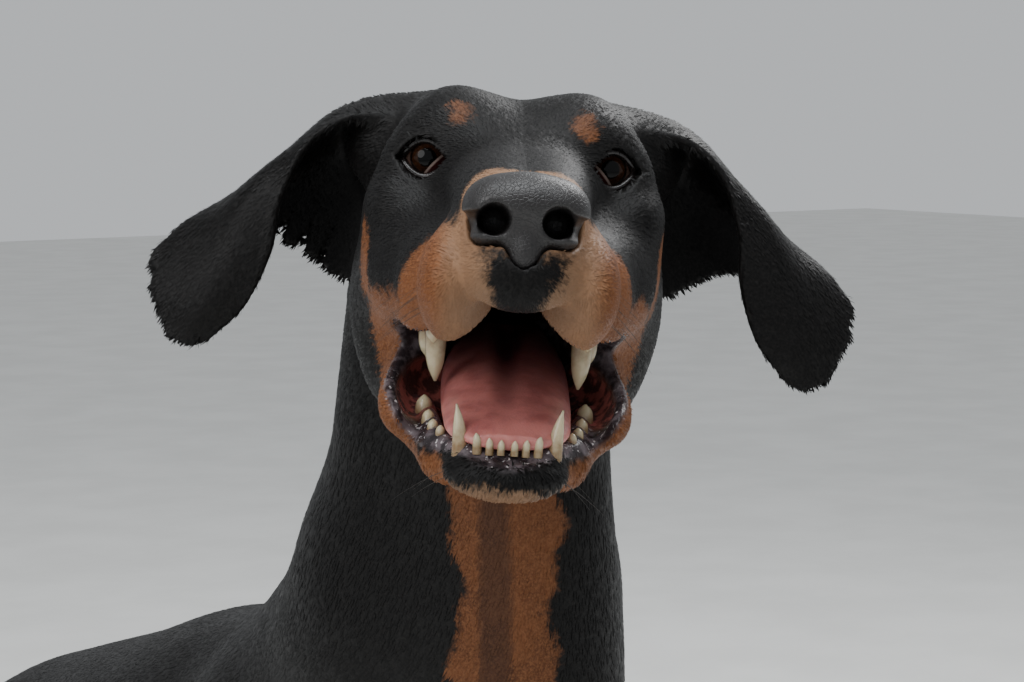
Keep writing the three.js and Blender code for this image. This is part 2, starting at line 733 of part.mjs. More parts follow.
for (const [name, side, droop] of [["left", 1, EAR_DROOP.left], ["right", -1, EAR_DROOP.right]]) {
  addNode("eye_" + name, eyes[name].ball, "eye", inHead);
  const ear = solidOf(earGeometry(side, droop, 10, 7));
  addNode("ear_" + name, clearOf(ear, headAndJaw), "black", inHead);
}

// Neck, torso, tail and legs, on a coarse grid, with the floor cut flat
const floor = half([0, 0, 0], [0, 0, -1]);
const bodyGrid = [
  spaced([[-210, 28]], 306),
  spaced([[-345, 25], [-240, 31], [220, 28], [560, 21]], 770),
  spaced([[-24, 20], [76, 30], [440, 21]], 715),
];
const headless = half([0, 0, 0], [0, 0, 1]).intersect(
  half(
    new THREE.Vector3(...NECK_CUT.point).addScaledVector(new THREE.Vector3(...NECK_CUT.way), GAP / 2)
      .applyMatrix4(HEAD_FRAME).toArray(),
    new THREE.Vector3(...NECK_CUT.way).transformDirection(HEAD_FRAME).toArray(),
  ),
);
const body = solidOf(meshOf(flesh, ...bodyGrid)).intersect(headless);
const [neckSolid, belowNeck] = parted(body, [-6, -90, 345], [0, -0.54, 0.84]);
const TAIL_CUT = { point: [0, 574, 160], way: [0, 0.95, -0.3] };
const [, trunkAndLegs] = parted(belowNeck, TAIL_CUT.point, TAIL_CUT.way);
const tailGrid = [spaced([[-44, 15]], 280), spaced([[530, 15]], 754), spaced([[-24, 13.5]], 216)];
const [tailSolid] = parted(solidOf(meshOf(flesh, ...tailGrid)).subtract(floor), TAIL_CUT.point, TAIL_CUT.way);
addNode("neck", neckSolid, "black");
addNode("tail", tailSolid, "black");

// Legs are parted from the torso by upright faces, inside outlines seen from the side
const FORELEG_UPPER = [
  [70, 110],
  [70, 300],
  [20, 378],
  [-60, 378],
  [-190, 240],
  [-190, 60],
];
const LEG_SPACES = {
  foreleg: [
    [FORELEG_UPPER, 84],
    [[[90, -20], [90, 110], [-345, 110], [-345, -20]], 66],
    [[[-110, -20], [-110, 112], [-345, 112], [-345, -20]], 20],
  ],
  hindleg: [
    [[[600, -20], [560, 190], [470, 250], [330, 250], [205, 190], [205, -20]], 66],
    [[[600, -20], [600, 70], [205, 70], [205, -20]], 24],
  ],
};
const PAW_CUT = 40;
let torsoSolid = trunkAndLegs;
for (const [kind, spaces] of Object.entries(LEG_SPACES))
  for (const [side, sign] of [["left", 1], ["right", -1]]) {
    const spaceFor = (grow) =>
      wasm.Manifold.union(
        spaces.map(([outline, inner]) => {
          const [a, b] = [sign * (inner - grow), sign * 300];
          const solid = solidOf(prism(outline, Math.min(a, b), Math.max(a, b)));
          return grow ? solid.add(solid.translate(0, 0, grow)).add(solid.translate(0, grow, 0)) : solid;
        }),
      );
    const pawName = kind.replace("leg", "paw") + "_" + side;
    const { place, scale } = PAWS[pawName];
    const cutY = place[1] + PAW_CUT * scale;
    const pawOutline = [[cutY + GAP, -30], [cutY + GAP, 62], [-400, 62], [-400, -30]];
    const pawSpace = solidOf(prism(pawOutline, -300, 300));
    const leg = trunkAndLegs.intersect(spaceFor(0)).subtract(pawSpace);
    addNode(kind + "_" + side, leg, kind === "foreleg" ? "rust" : "black");
    torsoSolid = torsoSolid.subtract(spaceFor(GAP));

    // The paw, on a grid of its own, with its claws
    const pawGrid = [
      spaced([[place[0] - 48, 10.4]], place[0] + 48),
      spaced([[place[1] - 40, 12]], cutY + 12),
      spaced([[-16, 11]], 56),
    ];
    const claws = TOES.map(([x, y]) =>
      solidOf(
        horn(
          [
            [0, -16, 12, 3.6],
            [0, -16 - CLAW_LENGTH * 0.75, 11, 3.1],
            [0, -16 - CLAW_LENGTH * 1.15, 6.5, 2],
            [0, -16 - CLAW_LENGTH * 1.3, 2.2, 0.7],
          ].map(([cx, cy, cz, radius]) => [
            place[0] + (x * 1.04 + cx) * scale,
            place[1] + (y + cy) * scale,
            cz * scale,
            radius,
          ]),
        ),
      ),
    );
    const pawSolid = solidOf(meshOf(flesh, ...pawGrid))
      .intersect(half([0, cutY, 0], [0, -1, 0]))
      .subtract(floor)
      .add(wasm.Manifold.union(claws));
    addNode(pawName, pawSolid, "rust");
  }
addNode("torso", torsoSolid, "black");

export default dog;
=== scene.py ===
"""A black and rust dog of Doberman pinscher form, lying with its head up: skin, short coat, eyes, nose and mouth.

Forms are smooth fields that are negative inside, in millimetres and in the body's own frame. They are then placed
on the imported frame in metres.
"""

import math

import bpy
import numpy as np
from mathutils import Matrix, Vector
from mathutils.bvhtree import BVHTree


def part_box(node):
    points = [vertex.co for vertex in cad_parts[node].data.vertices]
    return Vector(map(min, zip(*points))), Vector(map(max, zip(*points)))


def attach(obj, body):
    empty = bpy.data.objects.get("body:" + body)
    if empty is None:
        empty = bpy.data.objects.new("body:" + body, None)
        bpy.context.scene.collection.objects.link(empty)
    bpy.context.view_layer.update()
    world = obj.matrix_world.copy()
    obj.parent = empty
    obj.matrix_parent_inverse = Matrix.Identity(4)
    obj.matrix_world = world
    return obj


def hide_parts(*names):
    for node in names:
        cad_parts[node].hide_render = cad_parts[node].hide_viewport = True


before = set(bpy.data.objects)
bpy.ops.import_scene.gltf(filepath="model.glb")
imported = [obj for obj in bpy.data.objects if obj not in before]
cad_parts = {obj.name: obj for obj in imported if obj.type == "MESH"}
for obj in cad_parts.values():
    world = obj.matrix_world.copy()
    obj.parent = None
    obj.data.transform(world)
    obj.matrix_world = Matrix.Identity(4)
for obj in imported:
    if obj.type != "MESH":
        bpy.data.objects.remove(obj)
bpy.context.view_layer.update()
SEED = 11
rng = np.random.default_rng(SEED)
MM_PER_METRE = 1000

# Where the head sits in the body's frame, and how it is turned
HEAD_PLACE = Vector((-88, -260, 660))
HEAD_YAW, HEAD_PITCH, HEAD_ROLL = -33, -4, 3.8
EYE_PLACE = np.array([37.0, 8.0, 0.0])
LID_WIDTH, LID_HEIGHT, LID_TURN = 10.6, 7.8, 12
EYE_RADIUS = 11.5
LID_SLOPE = 0.8
SOCKET_GAP = 0.1
NOSE_GAP = 0.4

# How deep the skin lies inside the solids, which leaves room for the coat
COAT_DEPTH = 1.0
EAR_COAT_DEPTH = 0.3


def rotation(axis, degrees):
    return Matrix.Rotation(math.radians(degrees), 4, axis)


HEAD_TURN = rotation("Z", HEAD_YAW) @ rotation("X", HEAD_PITCH) @ rotation("Y", HEAD_ROLL)
HEAD_FRAME = np.array(Matrix.Translation(HEAD_PLACE) @ HEAD_TURN)
TO_HEAD = np.linalg.inv(HEAD_FRAME)


def moved(matrix, points):
    return points @ matrix[:3, :3].T + matrix[:3, 3]


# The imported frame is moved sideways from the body's frame, by as much as its left eye is
lo, hi = (np.array(v) * MM_PER_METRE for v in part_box("eye_left"))
SHIFT = (lo + hi) / 2 - moved(HEAD_FRAME, EYE_PLACE[None])[0]
SHIFT[2] = 0


def to_world(points):
    return (points + SHIFT) / MM_PER_METRE


# Fields
MIDDLE_ROUNDING = 3
FAR_AWAY = 1e3


def soften(a, b, k):
    h = np.maximum(k - np.abs(a - b), 0) / k
    return np.minimum(a, b) - h * h * k / 4


def join(k, *forms):
    def field(p):
        d = forms[0](p)
        for form in forms[1:]:
            d = soften(d, form(p), k)
        return d

    return field


def carve(k, body, *hollows):
    def field(p):
        d = body(p)
        for hollow in hollows:
            d = -soften(-d, hollow(p), k)
        return d

    return field


def paired(form):
    return lambda p: form(np.column_stack([np.hypot(p[:, 0], MIDDLE_ROUNDING), p[:, 1], p[:, 2]]))


def egg(centre, radii, pitch=0, turn=0):
    c, r = np.array(centre, float), np.array(radii, float)
    cp, sp = math.cos(math.radians(pitch)), math.sin(math.radians(pitch))
    ct, st = math.cos(math.radians(turn)), math.sin(math.radians(turn))

    def field(p):
        x, y, z = (p - c).T
        x, y = ct * x + st * y, -st * x + ct * y
        q = np.stack([x / r[0], (cp * y + sp * z) / r[1], (-sp * y + cp * z) / r[2]])
        k0 = np.sqrt((q * q).sum(0))
        k1 = np.sqrt(((q / r[:, None]) ** 2).sum(0))
        return k0 * (k0 - 1) / np.maximum(k1, 1e-6)

    return field


def limb(a, b, ra, rb, flat=1):
    a, b = np.array(a, float), np.array(b, float)
    squeeze = np.array([1 / flat, 1, 1])
    span = (b - a) * squeeze
    whole = span @ span

    def field(p):
        q = (p - a) * squeeze
        t = np.clip(q @ span / whole, 0, 1)
        away = q - t[:, None] * span
        return np.sqrt((away * away).sum(1)) - (ra + t * (rb - ra))

    return field


def read_rows(rows, place):
    rows = np.array(rows, float)
    keys, values = rows[:, 0], rows[:, 1:]
    t = np.clip(place, keys[0], keys[-1])
    i = np.clip(np.searchsorted(keys, t, side="right") - 1, 0, len(keys) - 2)
    before, after = np.maximum(i - 1, 0), np.minimum(i + 2, len(keys) - 1)
    span = keys[i + 1] - keys[i]
    u = ((t - keys[i]) / span)[:, None]
    m1 = (values[i + 1] - values[before]) / (keys[i + 1] - keys[before])[:, None] * span[:, None]
    m2 = (values[after] - values[i]) / (keys[after] - keys[i])[:, None] * span[:, None]
    u2, u3 = u * u, u * u * u
    return (
        (2 * u3 - 3 * u2 + 1) * values[i]
        + (u3 - 2 * u2 + u) * m1
        + (3 * u2 - 2 * u3) * values[i + 1]
        + (u3 - u2) * m2
    )


def barrel(rows):
    first, last = rows[0][0], rows[-1][0]

    def field(p):
        middle, w, h = read_rows(rows, p[:, 1]).T
        px, pz = p[:, 0] / w, (p[:, 2] - middle) / h
        k0 = np.hypot(px, pz)
        k1 = np.maximum(np.hypot(px / w, pz / h), 1e-9)
        side = k0 * (k0 - 1) / k1
        past = np.maximum(np.maximum(first - p[:, 1], p[:, 1] - last), 0)
        return np.where(past > 0, np.hypot(np.maximum(side, 0), past), side)

    return field


# A form that is only worked out inside a box, and is far away outside it
def near(low, high, form):
    low, high = np.array(low), np.array(high)

    def field(p):
        out = np.full(len(p), FAR_AWAY)
        inside = ((p > low) & (p < high)).all(1)
        if inside.any():
            out[inside] = form(p[inside])
        return out

    return field


# Head, in its own frame: the eyes' middle is the origin, +X its left, +Y back, +Z up
skull = join(
    16,
    egg([0, 62, -7], [52, 76, 37]),
    paired(egg([27, 56, 6], [25, 60, 28], -4)),
    paired(egg([25, 12, 10], [19, 26, 17], 10, -12)),
    egg([0, 14, 0], [28, 36, 21], 14),
    paired(egg([45, 24, -18], [18, 38, 17], 0, 8)),
    paired(egg([43, 48, -56], [26, 38, 50], 8)),
    paired(egg([40, 6, -44], [22, 40, 30], 4)),
    paired(egg([52, 66, 8], [24, 26, 22])),
    paired(egg([37.5, 9, 0], [16.5, 14, 14.5])),
    egg([0, 112, 8], [30, 24, 24]),
)
muzzle = join(
    12,
    limb([0, -6, -20], [0, -100, -29], 31, 22, 0.95),
    paired(limb([15, -14, -10], [11, -108, -20], 15, 11)),
    paired(egg([23, -70, -50], [15.5, 46, 25], 0, 8)),
    paired(egg([31, -26, -52], [17, 40, 28], 0, 8)),
    egg([0, -112, -44], [20, 15, 16]),
)
jaw = join(
    12,
    paired(limb([34, 40, -92], [22, -52, -118], 20, 13)),
    paired(egg([37.5, -5, -94], [13.5, 42, 15], 18, 10)),
    egg([0, -74, -122], [25, 19, 12], 10),
    egg([0, 4, -110], [30, 60, 15], 11),
)
mouth = join(
    8,
    egg([0, -44, -82], [34, 84, 28], 13),
    paired(egg([23, -30, -95], [20, 44, 15], 13)),
    paired(egg([36, -32, -81], [15, 31, 13], 10)),
    egg([0, 8, -76], [28, 40, 18], 10),
)
gums = join(
    4,
    paired(limb([0, -79, -117], [16, -76, -116], 4.5, 4.5)),
    paired(limb([16, -76, -116], [27, -52, -113], 5, 5)),
    paired(limb([27, -52, -113], [33, -8, -102], 5, 5)),
    paired(limb([29, -52, -60], [33, -8, -66], 6, 6)),
)
nose_pad = join(
    6,
    egg([0, -115, -19], [22, 15, 12]),
    paired(egg([13, -114, -24], [10.5, 14, 12])),
    egg([0, -116, -36], [8, 11, 11]),
)
nose = carve(
    2,
    nose_pad,
    paired(limb([12, -144, -25], [12.5, -110, -26], 6.6, 5.2)),
    paired(limb([15, -140, -27], [24, -110, -28], 5.2, 4.2)),
    limb([0, -134, -28], [0, -126, -50], 1.5, 1.5),
)
TONGUE = [
    [-82, -110, 15, 3],
    [-73, -107.5, 23, 6],
    [-50, -103, 25.5, 9.5],
    [-20, -97, 26.5, 14.5],
    [10, -89, 26, 19],
    [38, -82, 22, 19],
]
tongue = carve(5, barrel(TONGUE), limb([0, -84, -99], [0, 20, -66], 5, 5))


def eye_opening(p):
    q = np.abs(p) * (1, 0, 0) + p * (0, 1, 1) - EYE_PLACE
    a = math.radians(LID_TURN)
    across = math.cos(a) * q[:, 0] + math.sin(a) * q[:, 1]
    ahead = math.sin(a) * q[:, 0] - math.cos(a) * q[:, 1]
    u = np.clip(across / LID_WIDTH, -1, 1)
    edge = LID_HEIGHT * (1 - u * u) - np.abs(q[:, 2])
    almond = -np.minimum(edge * LID_SLOPE, (LID_WIDTH - np.abs(across)) * LID_SLOPE)
    return np.maximum(almond, -ahead)


def eye_socket(p):
    q = np.abs(p) * (1, 0, 0) + p * (0, 1, 1) - EYE_PLACE
    return np.sqrt((q * q).sum(1)) - EYE_RADIUS - SOCKET_GAP


head_flesh = join(14, join(14, skull, muzzle), jaw)
head_field = carve(
    1.2,
    join(4, carve(5, head_flesh, mouth), gums),
    eye_opening,
    eye_socket,
    lambda p: nose_pad(p) + NOSE_GAP,
)

# Body
TRUNK = [
    [-178, 226, 20, 26],
    [-160, 222, 52, 66],
    [-115, 216, 84, 122],
    [-50, 214, 102, 160],
    [30, 216, 112, 184],
    [130, 218, 116, 176],
    [230, 222, 108, 140],
    [330, 226, 84, 106],
    [410, 216, 78, 90],
    [490, 192, 72, 74],
    [550, 172, 46, 48],
    [575, 164, 18, 22],
]
trunk = join(
    30,
    barrel(TRUNK),
    paired(egg([34, 30, 356], [26, 100, 46], -6)),
    paired(egg([44, 460, 200], [44, 78, 62], -14)),
)
neck = join(
    34,
    limb([0, 6, 326], [-16, -96, 440], 102, 76, 0.92),
    limb([0, -60, 290], [-16, -110, 440], 96, 72, 0.92),
    limb([-16, -104, 430], [-34, -146, 590], 72, 60),
    limb([-8, -150, 250], [-40, -192, 560], 62, 42, 0.9),
)
tail = join(
    14,
    limb([0, 530, 212], [8, 590, 136], 30, 22),
    limb([8, 590, 136], [30, 640, 58], 22, 18),
    limb([30, 640, 58], [84, 696, 17], 18, 16),
    limb([84, 696, 15], [180, 728, 12], 16, 14),
    limb([180, 728, 12], [262, 706, 8], 14, 9),
)


def foreleg(side, reach):
    def at(x, y, z):
        return [side * x, y, z]

    carpus = at(90, -224 - reach, 19)
    return join(
        18,
        limb(at(66, 20, 340), at(90, -124, 210), 40, 46, 0.72),
        limb(at(92, -128, 204), at(108, -14, 62), 46, 34, 0.85),
        egg(at(94, -34, 170), [36, 70, 78], 30),
        limb(at(110, 14, 44), at(112, -40, 36), 26, 36),
        limb(at(112, -34, 33), carpus, 35, 23, 0.92),
        limb(carpus, at(88, -306 - reach, 19), 23, 21, 1.1),
    )


def hindleg(side):
    def at(x, y, z):
        return [side * x, y, z]

    return join(
        20,
        egg(at(92, 372, 164), [50, 118, 84], 24),
        egg(at(80, 470, 150), [46, 76, 76], -10),
        limb(at(118, 300, 146), at(136, 268, 130), 52, 38, 0.8),
        limb(at(138, 276, 122), at(142, 400, 78), 38, 31, 0.82),
        limb(at(142, 400, 78), at(146, 480, 38), 29, 20, 0.9),
        limb(at(120, 508, 104), at(144, 488, 44), 26, 15),
        limb(at(147, 482, 18), at(150, 356, 16), 23, 20, 0.95),
    )


TOES = [[-25, 14, 19], [-9, -2, 25], [9, -2, 25], [25, 14, 19]]
TOE_SPLAY = 1.04


def paw(place, scale):
    def at(x, y, z):
        return [place[0] + x * scale, place[1] + y * scale, z * scale]

    forms = [egg(at(0, 22, 17), [29 * scale, 34 * scale, 20 * scale])]
    for x, y, lift in TOES:
        knuckle = at(x, y, lift * 0.92)
        toe_end = at(x * TOE_SPLAY, y - 17, 8.5)
        forms.append(limb(at(x * 0.8, y + 22, lift), knuckle, 12 * scale, 11.5 * scale))
        forms.append(limb(knuckle, toe_end, 11.5 * scale, 9 * scale))
    low = [place[0] - 70, place[1] - 60, -60]
    return near(low, [place[0] + 70, place[1] + 110, 110], join(5, *forms))


# How far each foreleg reaches ahead, left and right
REACH = {1: 22, -1: 0}
PAWS = [
    ([88, -330 - REACH[1]], 1.05),
    ([-88, -330 - REACH[-1]], 1.05),
    ([151, 306], 0.95),
    ([-151, 306], 0.95),
]
legs = join(
    24,
    near([20, -430, -60], [220, 150, 460], foreleg(1, REACH[1])),
    near([-220, -430, -60], [-20, 150, 460], foreleg(-1, REACH[-1])),
    near([-10, 160, -60], [260, 640, 330], hindleg(1)),
    near([-260, 160, -60], [10, 640, 330], hindleg(-1)),
)
paws = join(12, *[paw(place, scale) for place, scale in PAWS])
tail_near = near([-60, 430, -60], [340, 800, 330], tail)
head_near = near([-300, -460, 430], [130, 60, 760], lambda p: head_field(moved(TO_HEAD, p)))
torso_near = near([-220, -290, -80], [220, 660, 560], trunk)
neck_near = near([-220, -340, 120], [220, 160, 760], neck)

# Ears: a curved leaf whose five lines run from the head to the tip, from the front edge over the fold to the rear
EAR_LINES = [
    [[38, 44, 16], [70, 42, 18], [90, 42, 5], [101, 40, -20], [104, 40, -42], [114, 44, -66], [130, 50, -83]],
    [[39, 50, 21], [73, 50, 20], [96, 50, 2], [114, 47, -18], [122, 45, -42], [130, 46, -66], [136, 50, -84]],
    [[40, 60, 22], [74, 66, 20], [102, 66, -4], [123, 62, -22], [139, 58, -38], [147, 54, -62], [142, 52, -82]],
    [[40, 72, 6], [74, 84, 2], [102, 80, -10], [126, 72, -24], [147, 64, -38], [153, 57, -60], [146, 53, -80]],
    [[42, 76, -46], [70, 81, -51], [98, 79, -37], [126, 70, -38], [153, 63, -44], [155, 58, -60], [148, 54, -77]],
]
EAR_DROOP = {1: 2, -1: 0}
EAR_THICKNESS = 6
EAR_RIM_SHARE = 0.6
EAR_ROOT_SHARE, EAR_TAPER = 1.2, 0.4
EAR_MARGIN = 14
EAR_PIVOT = np.array([55, 55, 10.0])


def curve_points(points, count):
    points = np.array(points, float)
    steps = np.sqrt((np.diff(points, axis=0) ** 2).sum(1)) ** 0.5
    keys = np.concatenate([[0], np.cumsum(steps)]) / steps.sum()
    return read_rows(np.column_stack([keys, points]), np.linspace(0, 1, count))


def ear_sheet(side, along=64, across=40):
    lines = np.array([curve_points(line, along) for line in EAR_LINES])
    sheet = np.array([curve_points(lines[:, i], across) for i in range(along)])
    a = math.radians(EAR_DROOP[side])
    turn = np.array([[math.cos(a), 0, math.sin(a)], [0, 1, 0], [-math.sin(a), 0, math.cos(a)]])
    sheet = (sheet - EAR_PIVOT) @ turn.T + EAR_PIVOT
    return sheet * (side, 1, 1)


def ear_field(side):
    sheet = ear_sheet(side)
    along, across = sheet.shape[:2]
    faces = [
        [i * across + j, i * across + j + 1, (i + 1) * across + j + 1, (i + 1) * across + j]
        for i in range(along - 1)
        for j in range(across - 1)
    ]
    tree = BVHTree.FromPolygons([Vector(v) for v in sheet.reshape(-1, 3)], faces)
    low = sheet.reshape(-1, 3).min(0) - EAR_MARGIN
    high = sheet.reshape(-1, 3).max(0) + EAR_MARGIN

    def field(p):
        out = np.empty(len(p))
        for n, point in enumerate(p):
            _, _, face, away = tree.find_nearest(point)
            i, j = divmod(face, across - 1)
            inward = math.sin(math.pi * (j + 0.5) / (across - 1))
            full = EAR_RIM_SHARE + (1 - EAR_RIM_SHARE) * inward
            out[n] = away - EAR_THICKNESS / 2 * full * (EAR_ROOT_SHARE - EAR_TAPER * i / along)
        return out

    return near(low, high, field)


ears = [ear_field(1), ear_field(-1)]
ears_near = near(
    [-330, -460, 480],
    [200, 60, 740],
    lambda p: np.minimum(*[ear(moved(TO_HEAD, p)) for ear in ears]),
)
LEG_BLEND, NECK_BLEND, TAIL_BLEND, PAW_BLEND, EAR_BLEND = 22, 30, 26, 12, 8


def flesh(p):
    torso_and_legs = join(LEG_BLEND, torso_near, legs)
    neck_and_head = join(NECK_BLEND, neck_near, head_near)
    body = join(PAW_BLEND, join(TAIL_BLEND, torso_and_legs, tail_near, neck_and_head), paws)(p)
    return soften(body + COAT_DEPTH, ears_near(p) + EAR_COAT_DEPTH, EAR_BLEND)


# A mesh of the place where a field changes sign. The field is first worked out once for each block of cells, and
# then at the corners of the blocks that may hold the surface.
BLOCK = 6
BLOCK_REACH, BLOCK_MARGIN = 1.35, 4
BATCH = 400000
JUST_OUTSIDE = 1e-4


def surface(field, xs, ys, zs):
    shape = (len(xs), len(ys), len(zs))

    def coarse(places):
        edges = list(range(0, len(places) - 1, BLOCK)) + [len(places) - 1]
        middles = np.array([(places[a] + places[b]) / 2 for a, b in zip(edges, edges[1:])])
        halves = np.array([(places[b] - places[a]) / 2 for a, b in zip(edges, edges[1:])])
        return middles, halves, np.minimum(np.arange(len(places)) // BLOCK, len(middles) - 1)

    (mx, hx, ix), (my, hy, iy), (mz, hz, iz) = coarse(xs), coarse(ys), coarse(zs)
    centres = np.stack(np.meshgrid(mx, my, mz, indexing="ij"), -1).reshape(-1, 3)
    reach = np.sqrt(sum(h**2 for h in np.meshgrid(hx, hy, hz, indexing="ij"))).ravel()
    rough = field(centres)
    close = (np.abs(rough) < reach * BLOCK_REACH + BLOCK_MARGIN).reshape(len(mx), len(my), len(mz))
    active = close[np.ix_(ix, iy, iz)]
    for axis in range(3):
        active |= np.roll(active, 1, axis)
    signs = np.where(rough < 0, -1.0, 1.0).astype(np.float32).reshape(close.shape)
    values = signs[np.ix_(ix, iy, iz)]
    where = np.argwhere(active)
    for start in range(0, len(where), BATCH):
        w = where[start : start + BATCH]
        values[tuple(w.T)] = field(np.column_stack([xs[w[:, 0]], ys[w[:, 1]], zs[w[:, 2]]]))
    for axis in range(3):
        edge = [slice(None)] * 3
        for end in (0, -1):
            edge[axis] = end
            values[tuple(edge)] = 1
    values[values == 0] = JUST_OUTSIDE
    inside = values < 0
    count = np.zeros([n - 1 for n in shape], np.int8)
    corners = [(a, b, c) for a in (0, 1) for b in (0, 1) for c in (0, 1)]
    for a, b, c in corners:
        count += inside[a : shape[0] - 1 + a, b : shape[1] - 1 + b, c : shape[2] - 1 + c]
    cells = np.argwhere((count > 0) & (count < 8))
    number = np.full(count.shape, -1, np.int32)
    number[tuple(cells.T)] = np.arange(len(cells))
    places = [xs, ys, zs]
    total, crossings = np.zeros((len(cells), 3)), np.zeros(len(cells))
    for p in corners:
        for axis in range(3):
            if p[axis]:
                continue
            q = list(p)
            q[axis] = 1
            a, b = cells + p, cells + q
            va, vb = values[tuple(a.T)], values[tuple(b.T)]
            hit = (va < 0) != (vb < 0)
            t = np.where(hit, va / np.where(hit, va - vb, 1), 0)
            pa = np.column_stack([places[n][a[:, n]] for n in range(3)])
            pb = np.column_stack([places[n][b[:, n]] for n in range(3)])
            total += hit[:, None] * (pa + t[:, None] * (pb - pa))
            crossings += hit
    points = total / crossings[:, None]
    quads = []
    for axis in range(3):
        u, v = [(1, 2), (2, 0), (0, 1)][axis]
        first = [slice(0, n - 1) for n in shape]
        here = inside[tuple(first)]
        first[axis] = slice(1, shape[axis])
        ahead = inside[tuple(first)]
        edge = np.argwhere(here != ahead)
        edge = edge[(edge[:, u] > 0) & (edge[:, v] > 0)]
        du, dv = np.zeros(3, int), np.zeros(3, int)
        du[u], dv[v] = 1, 1
        ring = np.column_stack(
            [number[tuple(c.T)] for c in (edge - du - dv, edge - dv, edge, edge - du)]
        )
        solid = here[tuple(edge.T)]
        quads.append(np.where(solid[:, None], ring, ring[:, ::-1]))
    return points - pulled(field, points), np.concatenate(quads)


SLOPE_STEP = 0.6
LEAST_SLOPE_SQUARED = 0.2
LONGEST_PULL = 1.5


def slope(field, points):
    offsets = np.eye(3) * SLOPE_STEP
    rises = [(field(points + o) - field(points - o)) / (2 * SLOPE_STEP) for o in offsets]
    return np.stack(rises, 1)


def pulled(field, points):
    g = slope(field, points)
    size = np.maximum((g * g).sum(1), LEAST_SLOPE_SQUARED)
    move = field(points)[:, None] * g / size[:, None]
    reach = np.sqrt((move * move).sum(1))
    return move * np.minimum(1, LONGEST_PULL / np.maximum(reach, 1e-9))[:, None]


# Places along an axis, from rows of where a spacing starts and what it is
def spaced(rows, end):
    places = []
    for (start, step), stop in zip(rows, [row[0] for row in rows[1:]] + [end]):
        count = max(1, round((stop - start) / step))
        places += [start + (stop - start) * n / count for n in range(count)]
    return np.array(places + [end], float)


# Meshes


def mesh_object(name, points, faces, material, body="root"):
    mesh = bpy.data.meshes.new(name)
    mesh.from_pydata(to_world(points).tolist(), [], [list(map(int, f)) for f in faces])
    mesh.shade_smooth()
    made = bpy.data.objects.new(name, mesh)
    bpy.context.scene.collection.objects.link(made)
    mesh.materials.append(material)
    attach(made, body)
    return made


def store(made, name, values):
    attribute = made.data.attributes.new(name, "FLOAT", "POINT")
    attribute.data.foreach_set("value", np.asarray(values, np.float32))


# Markings: how deep a place is inside the rust, in millimetres, negative in the black. Both skin and coat use it.
rust_in_head = join(
    8,
    paired(egg([27, -86, -56], [23, 52, 30])),
    paired(egg([46, -24, -84], [26, 48, 31], 8)),
    paired(egg([62, 6, -42], [12, 12, 17])),
    egg([0, -16, -130], [60, 88, 30], 12),
    egg([0, -112, -18], [32, 24, 21]),
)
brow_spots = paired(egg([25.5, -9, 18.5], [4.2, 7, 6]))
bridge = limb([0, -20, 6], [0, -98, -2], 17, 9)
FORELEG_LOW, FORELEG_HIGH = (-460, -60), (20, 160)
rust_on_body = join(
    10,
    limb([-72, -221, 520], [-66, -214, 430], 28, 24),
    limb([-66, -214, 430], [-22, -216, 310], 24, 12),
    paired(egg([42, -176, 214], [32, 40, 36])),
    near([0, *FORELEG_LOW], [200, *FORELEG_HIGH], limb([86, -350, 10], [102, -120, 18], 46, 40)),
    near([-200, *FORELEG_LOW], [0, *FORELEG_HIGH], limb([-86, -330, 10], [-102, -120, 18], 46, 40)),
    paired(limb([150, 270, 8], [148, 440, 16], 42, 28)),
    paired(limb([148, 440, 16], [136, 490, 44], 26, 16)),
    egg([0, 578, 128], [34, 26, 46]),
)


def rust(p):
    head = moved(TO_HEAD, p)
    on_head = -carve(6, rust_in_head, bridge)(head)
    # The edge wanders a little, in two waves
    wander = 2.2 * np.sin(p[:, 2] / 11) + 1.6 * np.sin(p[:, 2] / 4.7 + p[:, 0] / 9)
    return np.maximum(np.maximum(on_head, -brow_spots(head)), wander - rust_on_body(p))


# The groove down the middle of the throat stripe, darkened with painted shade
throat_line = limb([-64, -210, 525], [-62, -206, 420], 2, 2)


# Shader help


